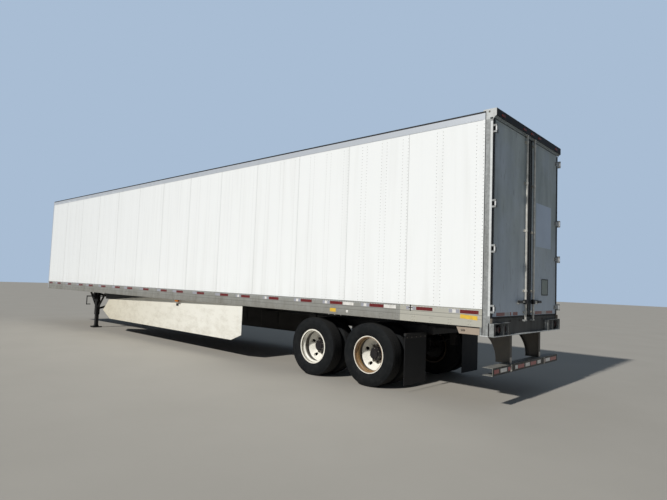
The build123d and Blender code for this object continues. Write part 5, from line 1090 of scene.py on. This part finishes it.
for axle_name, axle_x in axle_xs.items():
    rubber, tree, place = new_material(f"road_tyre_rubber_{axle_name}", 0.8, 0.0,
        {"Specular IOR Level": 0.25})
    radius = around_axle(tree, place, axle_x)
    worn = add(tree, "MapRange", {"From Min": 0.497, "From Max": 0.503, "To Max": 0.8}, {"Value": radius})
    mud = add(tree, "TexNoise", {"Scale": 1 / (90 * MM), "Detail": 6.0}, {"Vector": place})
    wall_dust = add(tree, "MapRange", {"From Min": 0.45, "From Max": 0.8, "To Max": 0.45}, {"Value": mud})
    dusty = add(tree, "Math", None, {0: worn, 1: wall_dust}, operation="MAXIMUM")
    tone = add(tree, "Mix", {6: srgb("#0d1012"), 7: srgb("#2a2a29")}, {0: dusty})
    rings = add(tree, "Math", {1: 1 / (4 * MM)}, {0: radius}, operation="MULTIPLY")
    ring_wave = add(tree, "Math", None, {0: rings}, operation="SINE")
    feed(tree, tone, bump=(ring_wave, 0.25, 0.8 * MM))
    for side_name, side in SIDES.items():
        twins = [copy_to(tyre, (axle_x, side * (TRACK_HALF + out * TWIN_HALF), AXLE_Z)) for out in (-1, 1)]
        pair = settle(join(twins), f"treaded_tyres_{axle_name}_{side_name}", rubber,
            f"wheels_{axle_name}_{side_name}")
        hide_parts(f"tyres_{axle_name}_{side_name}")
bpy.data.objects.remove(tyre)

# The hubs and drums: cast iron, brown-black with oil and brake dust.
# Ten flange nuts on their studs hold each pair of disc wheels, and small bolts hold the hub's cap.
cast_iron = dusted_paint("oily_cast_iron", "#131114", "#3a3130", 0.45, 0.05, 3 * MM, 0.6)
cover([name for name in nodes if name.startswith("hub_")], cast_iron)
nut_steel = galvanised_steel("oiled_nut_steel", "#6f6b64", "#8a867d", "#4a3a2c", 0.9)
NUT_CIRCLE = 142.875 * MM
DISC_FACE = 0.9956
HUB_FACE = 1.092
CAP_BOLT_CIRCLE = 88 * MM
nut = join([hex_bolt(33 * MM, 26 * MM), blank(12, 10.5 * MM, 16 * MM, 32 * MM, 0.8)])
cap_bolt = hex_bolt(14 * MM, 8 * MM)
for axle_name, axle_x in axle_xs.items():
    for side_name, side in SIDES.items():
        fixings = []
        for pattern, count, circle, out in ((nut, 10, NUT_CIRCLE, DISC_FACE),
                (cap_bolt, 6, CAP_BOLT_CIRCLE, HUB_FACE)):
            for turn in range(count):
                angle = math.tau * turn / count
                spot = (axle_x + circle * math.sin(angle), side * out, AXLE_Z + circle * math.cos(angle))
                fixings.append(copy_to(pattern, facing(spot, (0, side, 0))))
        settle(join(fixings), f"wheel_nuts_{axle_name}_{side_name}", nut_steel,
            f"wheels_{axle_name}_{side_name}")
bpy.data.objects.remove(nut)
bpy.data.objects.remove(cap_bolt)

# The disc wheels: pressed steel in white enamel. Grime gathers round the nuts, and deep in each barrel a dark
# band is painted shade. At the rear pair salt has taken the enamel off the outer flange and bead seat, which
# have gone tan. Each barrel steps in behind its bead seat, to the well that lets a tyre over the flange.
RIM_MIDDLE = TRACK_HALF + TWIN_HALF
BARREL_R = 277 * MM
WHEEL_CREAM = "#fbf8ec"
# The last band of each wheel, deepest and darkest, is painted shade inside the barrel; the bands nearer the
# flange are its grey, tan and brown tones.
TONE_AND_SHADE_BANDS = {
    # how far out each band starts and how soft its edge is, m, then its tone and amount
    "front": (
        (1.262, 0.003, "#77715f", 0.8),
        (1.238, 0.004, WHEEL_CREAM, 0.95),
        (1.178, 0.006, "#39342b", 0.95),
    ),
    "rear": (
        (1.262, 0.003, "#87694a", 0.9),
        (1.240, 0.004, "#b28d5d", 0.9),
        (1.205, 0.003, "#5d452b", 0.9),
        (1.194, 0.006, "#a8854f", 0.85),
        (1.165, 0.01, "#33271b", 0.95),
    ),
}
DISC_R = 268 * MM
DISC_OUT = 1.112
FLANGE_TAN_R = 289 * MM
well = spun([(BARREL_R, 100 * MM), (BARREL_R - 1.5 * MM, 52 * MM), (BARREL_R - 16 * MM, 40 * MM),
    (BARREL_R - 19 * MM, 28 * MM), (BARREL_R - 19 * MM, -18 * MM), (BARREL_R, -34 * MM),
    (BARREL_R, 100 * MM)], 64)
select_only([well])
bpy.ops.object.shade_smooth_by_angle(angle=math.radians(30))
for axle_name, axle_x in axle_xs.items():
    wheel, tree, place = new_material(f"white_wheel_enamel_{axle_name}", 0.38)
    radius = around_axle(tree, place, axle_x)
    blotch = add(tree, "TexNoise", {"Scale": 1 / (70 * MM), "Detail": 8.0, "Roughness": 0.7},
        {"Vector": place})
    out = add(tree, "Math", None, {0: add(tree, "SeparateXYZ", links={"Vector": place}).outputs["Y"]},
        operation="ABSOLUTE")
    wavy = add(tree, "MapRange", {"To Min": -0.006, "To Max": 0.006}, {"Value": blotch})
    depth = add(tree, "Math", None, {0: out, 1: wavy}, operation="ADD")
    tone = add(tree, "Mix", {6: srgb(WHEEL_CREAM), 7: srgb("#ddd8c9")}, {0: blotch})
    if axle_name == "rear":
        tone = layer(tree, tone, "#94765a", radius, FLANGE_TAN_R, FLANGE_TAN_R - 3 * MM, 0.85)
    # The deepest band laid here is painted shade.
    for edge, softness, band_hex, amount in TONE_AND_SHADE_BANDS[axle_name]:
        tone = layer(tree, tone, band_hex, depth, edge + softness, edge - softness, amount)
    in_disc = add(tree, "MapRange", {"From Min": DISC_R + 2 * MM, "From Max": DISC_R - 2 * MM},
        {"Value": radius})
    deep = add(tree, "Math", {1: DISC_OUT}, {0: out}, operation="LESS_THAN")
    outer_wheel = add(tree, "Math", {1: TRACK_HALF}, {0: out}, operation="GREATER_THAN")
    disc = add(tree, "Math", None, {0: in_disc, 1: deep}, operation="MULTIPLY")
    disc = add(tree, "Math", None, {0: disc, 1: outer_wheel}, operation="MULTIPLY")
    tone = add(tree, "Mix", {7: srgb(WHEEL_CREAM)}, {0: disc, 6: tone})
    hub_zone = add(tree, "MapRange", {"From Min": 0.165, "From Max": 0.13, "To Max": 0.8}, {"Value": radius})
    streaky = add(tree, "MapRange", {"From Min": 0.45, "From Max": 0.8, "To Max": 0.35}, {"Value": blotch})
    grime = add(tree, "Math", None, {0: hub_zone, 1: streaky}, operation="MAXIMUM")
    tone = add(tree, "Mix", {7: srgb("#564d40")}, {0: grime, 6: tone})
    feed(tree, tone, (grime, 0.38, 0.85), (blotch, 0.3, 0.8 * MM))
    cover((f"rims_{axle_name}_left", f"rims_{axle_name}_right"), wheel)
    for side_name, side in SIDES.items():
        placed = copy_to(well, facing((axle_x, side * RIM_MIDDLE, AXLE_Z), (0, side, 0)))
        settle(placed, f"rim_well_{axle_name}_{side_name}", wheel,
            f"wheels_{axle_name}_{side_name}")
bpy.data.objects.remove(well)

# Valve stems: nickel-plated tubes that lean out from the disc of each outer wheel, with a small cap.
# The plating has gone cream with dust.
stem_plate = clouded("dusty_nickel_plate", 0.4, 0.5, 15 * MM, 4.0, ("#dedacb", "#8f8979"))
STEM_R = 5 * MM
STEM_L = 115 * MM
STEM_FROM = (0.108, 0.099)
STEM_LEAN = (0.36, 0.32, 0.85)
stem = spun([(0, 0), (STEM_R * 1.8, 0), (STEM_R * 1.8, 9 * MM), (STEM_R, 12 * MM), (STEM_R, STEM_L - 20 * MM),
    (STEM_R * 1.4, STEM_L - 18 * MM), (STEM_R * 1.4, STEM_L - 2 * MM), (STEM_R, STEM_L), (0, STEM_L)], 12)
for axle_name, axle_x in axle_xs.items():
    for side_name, side in SIDES.items():
        spot = (axle_x + STEM_FROM[0], side * DISC_FACE, AXLE_Z + STEM_FROM[1])
        placed = copy_to(stem, facing(spot, (STEM_LEAN[0], side * STEM_LEAN[1], STEM_LEAN[2])))
        settle(placed, f"valve_stem_{axle_name}_{side_name}", stem_plate,
            f"wheels_{axle_name}_{side_name}")
bpy.data.objects.remove(stem)

# The side skirts: cream-white composite sheet in three lengths, bolted through to its struts.
# Gel-coated and slightly waxy. Dirt has yellowed it towards the front, and its faces that look inward are
# near black.
skirt_low, skirt_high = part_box("side_skirt_left")
skirt_sheet, tree, place = new_material("white_composite_sheet", 0.42)
split = add(tree, "SeparateXYZ", links={"Vector": place})
yellowed = add(tree, "MapRange", {"From Min": skirt_low.x + 1.5, "From Max": skirt_high.x},
    {"Value": split.outputs["X"]})
tone = add(tree, "Mix", {6: srgb("#eeece2"), 7: srgb("#d3ccb8")}, {0: yellowed})
film = drawn_noise(tree, place, (3.2, 3.2, 6.0), {"Detail": 9.0, "Roughness": 0.68})
lower = add(tree, "MapRange", {"From Min": 0.4, "From Max": 1.05, "To Min": 0.12, "To Max": -0.02},
    {"Value": split.outputs["Z"]})
total = add(tree, "Math", None, {0: film, 1: lower}, operation="ADD")
dirt = add(tree, "MapRange", {"From Min": 0.5, "From Max": 0.85, "To Max": 0.5}, {"Value": total})
tone = add(tree, "Mix", {7: srgb("#a39a84")}, {0: dirt, 6: tone})
normal = face_direction(tree)
inward = add(tree, "Math", None, {0: normal.outputs["Y"], 1: split.outputs["Y"]}, operation="MULTIPLY")
inside = add(tree, "Math", {1: -0.3}, {0: inward}, operation="LESS_THAN")
tone = add(tree, "Mix", {7: srgb("#22201d")}, {0: inside, 6: tone})
grit = add(tree, "TexNoise", {"Scale": 1 / (8 * MM), "Detail": 3.0}, {"Vector": place})
feed(tree, tone, (dirt, 0.42, 0.85), (grit, 0.2, 0.5 * MM))
cover(("side_skirt_left", "side_skirt_right"), skirt_sheet)
SKIRT_TURN = math.asin(0.23 / 6.9)
STRUTS_AHEAD = (0.45, 1.67, 2.89, 4.11, 5.33)
BOLT_HEIGHTS = (0.97, 0.78, 0.62)


def on_skirt(side, ahead, out, height):
    """A place by the outer face of a skirt: how far ahead of its rear end, out from the face, and up."""
    return (skirt_low.x + ahead * math.cos(SKIRT_TURN) + out * math.sin(SKIRT_TURN),
        side * (skirt_high.y - ahead * math.sin(SKIRT_TURN) + out * math.cos(SKIRT_TURN)), height)


spots = [(on_skirt(side, ahead + shift, 0, height), (math.sin(SKIRT_TURN), side * math.cos(SKIRT_TURN), 0))
    for side in SIDES.values() for ahead in STRUTS_AHEAD for height in BOLT_HEIGHTS
    for shift in (-15 * MM, 15 * MM)]
settle(spread_out(hex_bolt(11 * MM, 4 * MM), spots), "skirt_bolts", skirt_sheet)

# Skirt mounting strips: a black steel plate behind the head of each skirt, up to the
# rail, that closes the gap. Its near-black paint also stands for the rail's shadow on it: painted shade.
# The left skirt also has a small black clip on its upper edge.
strip_paint_and_shade = dusted_paint("black_strip_paint_and_painted_shade", "#1d1d1b", "#3b3a36", 0.6, 0.1, 4 * MM, 0.6)
STRIP_SPAN = (0.06, 6.78)
STRIP_BACK = 14 * MM
STRIP_T = 3 * MM
for side_name, side in SIDES.items():
    strip = block((STRIP_SPAN[0], side * -STRIP_BACK, 0.93),
        (STRIP_SPAN[1], side * -(STRIP_BACK + STRIP_T), rail_low.z - 1 * MM), 0.5 * MM)
    strip.data.transform(Matrix.Translation((skirt_low.x, side * skirt_high.y, 0))
        @ Matrix.Rotation(-side * SKIRT_TURN, 4, "Z"))
    settle(strip, f"skirt_strip_{side_name}", strip_paint_and_shade)
CLIP_AHEAD = 2.59
clip = block((CLIP_AHEAD - 0.05, -8 * MM, 0.955), (CLIP_AHEAD + 0.05, 9 * MM, 1.015), 3 * MM)
clip.data.transform(Matrix.Translation((skirt_low.x, skirt_high.y, 0)) @ Matrix.Rotation(-SKIRT_TURN, 4, "Z"))
settle(clip, "skirt_clip", chassis_paint)

# Scuff liners inside: roll-formed steel strips a foot high along the foot of each side wall,
# under the plywood. They take the knocks of pallets, so they are galvanised and scratched.
LINER_H = 0.305
LINER_RIBS = 3
inner_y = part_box("side_wall_left")[0].y
floor_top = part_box("floor_deck")[1].z
liners = []
for side in SIDES.values():
    liner = block((wall_low.x + 0.01, side * (inner_y + 1 * MM), floor_top + 1 * MM),
        (wall_high.x - 0.01, side * (inner_y - 2 * MM), floor_top + LINER_H), 0.5 * MM)
    ribs = [block((wall_low.x + 0.01, side * (inner_y - 2 * MM), floor_top + LINER_H * share - 15 * MM),
        (wall_high.x - 0.01, side * (inner_y - 9 * MM), floor_top + LINER_H * share + 15 * MM), 3 * MM)
        for share in ((count + 0.5) / LINER_RIBS for count in range(LINER_RIBS))]
    liners += [liner] + ribs
settle(join(liners), "scuff_liners", galvanised)

# The service couplings in the front: cast air couplings with a coloured rubber seal each, blue and red.
# The seals are soft polyurethane rings that stand a little out of the castings.
coupling_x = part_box("service_connections")[1].x - 37 * MM + 2 * MM
COUPLING_Z = 1.1644
for seal_name, seal_hex, seal_y in (("blue", "#1f4f9c", 0.13), ("red", "#a8201c", -0.13)):
    urethane = dusted_paint(f"{seal_name}_urethane_seal", seal_hex, "#6a655c", 0.4, 0.03, 3 * MM, 0.4)
    seal = spun([(6 * MM, 0), (13 * MM, 0), (13 * MM, 4 * MM), (9 * MM, 5 * MM), (6 * MM, 3 * MM),
        (6 * MM, 0)], 20)
    seal.data.transform(facing((coupling_x - 12 * MM, seal_y, COUPLING_Z), (1, 0, 0)))
    settle(seal, f"{seal_name}_coupling_seal", urethane)

# The stage: a pale plain floor under a soft studio sky, with one wide key light over the left side.
# The light comes nearly square to that side, from about 37 degrees up.
deselect()
bpy.ops.mesh.primitive_plane_add(size=160, location=(0, 0, 0))
floor = bpy.context.object
floor.name = "studio_floor"
floor_paint = clouded("pale_studio_floor", 0.8, 0.0, 1.25, 5.0, ("#b6b1a7", "#aba69c"))
floor.data.materials.append(floor_paint)
floor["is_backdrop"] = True

world = bpy.data.worlds.new("studio_sky")
bpy.context.scene.world = world
world.use_nodes = True
sky = world.node_tree.nodes["Background"]
sky.inputs["Color"].default_value = srgb("#c0d4ec")
sky.inputs["Strength"].default_value = 0.25
backdrop = add(world.node_tree, "Background", {"Color": srgb("#a9bdd4")})
seen = add(world.node_tree, "LightPath").outputs["Is Camera Ray"]
either = add(world.node_tree, "MixShader", None, {0: seen, 1: sky, 2: backdrop})
world.node_tree.links.new(either.outputs[0], world.node_tree.nodes["World Output"].inputs["Surface"])
bpy.context.scene.view_settings.view_transform = "Standard"

SUN_WAY = Vector((-0.04, 5.55, 4.115)).normalized()
deselect()
bpy.ops.object.light_add(type="SUN", location=SUN_WAY * 30)
sun = bpy.context.object
sun.name = "key_light"
sun.data.energy = 3.1
sun.data.angle = math.radians(2)
sun.data.color = (1.0, 0.98, 0.95)
sun.rotation_euler = SUN_WAY.to_track_quat("Z", "Y").to_euler()

# The camera stands behind the left rear corner, at eye height, where it sees the whole length and the
# doors. It leans a little. Its lens and its place were solved from the side sheets' seams.
CAMERA_AT = (-11.041, 7.820, 1.623)
YAW, PITCH, ROLL = (math.radians(angle) for angle in (-47.935, 3.763, 2.129))
LENS_MM = 27.5
ahead = Vector((math.cos(YAW) * math.cos(PITCH), math.sin(YAW) * math.cos(PITCH), math.sin(PITCH)))
right = Vector((math.sin(YAW), -math.cos(YAW), 0))
up = right.cross(ahead)
right_rolled = right * math.cos(ROLL) + up * math.sin(ROLL)
up_rolled = up * math.cos(ROLL) - right * math.sin(ROLL)
deselect()
bpy.ops.object.camera_add()
camera = bpy.context.object
camera.data.lens = LENS_MM
camera.data.sensor_width = 36
camera.data.clip_end = 500
turned = Matrix((right_rolled, up_rolled, -ahead)).transposed().to_4x4()
camera.matrix_world = Matrix.Translation(CAMERA_AT) @ turned
bpy.context.scene.camera = camera

low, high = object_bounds()
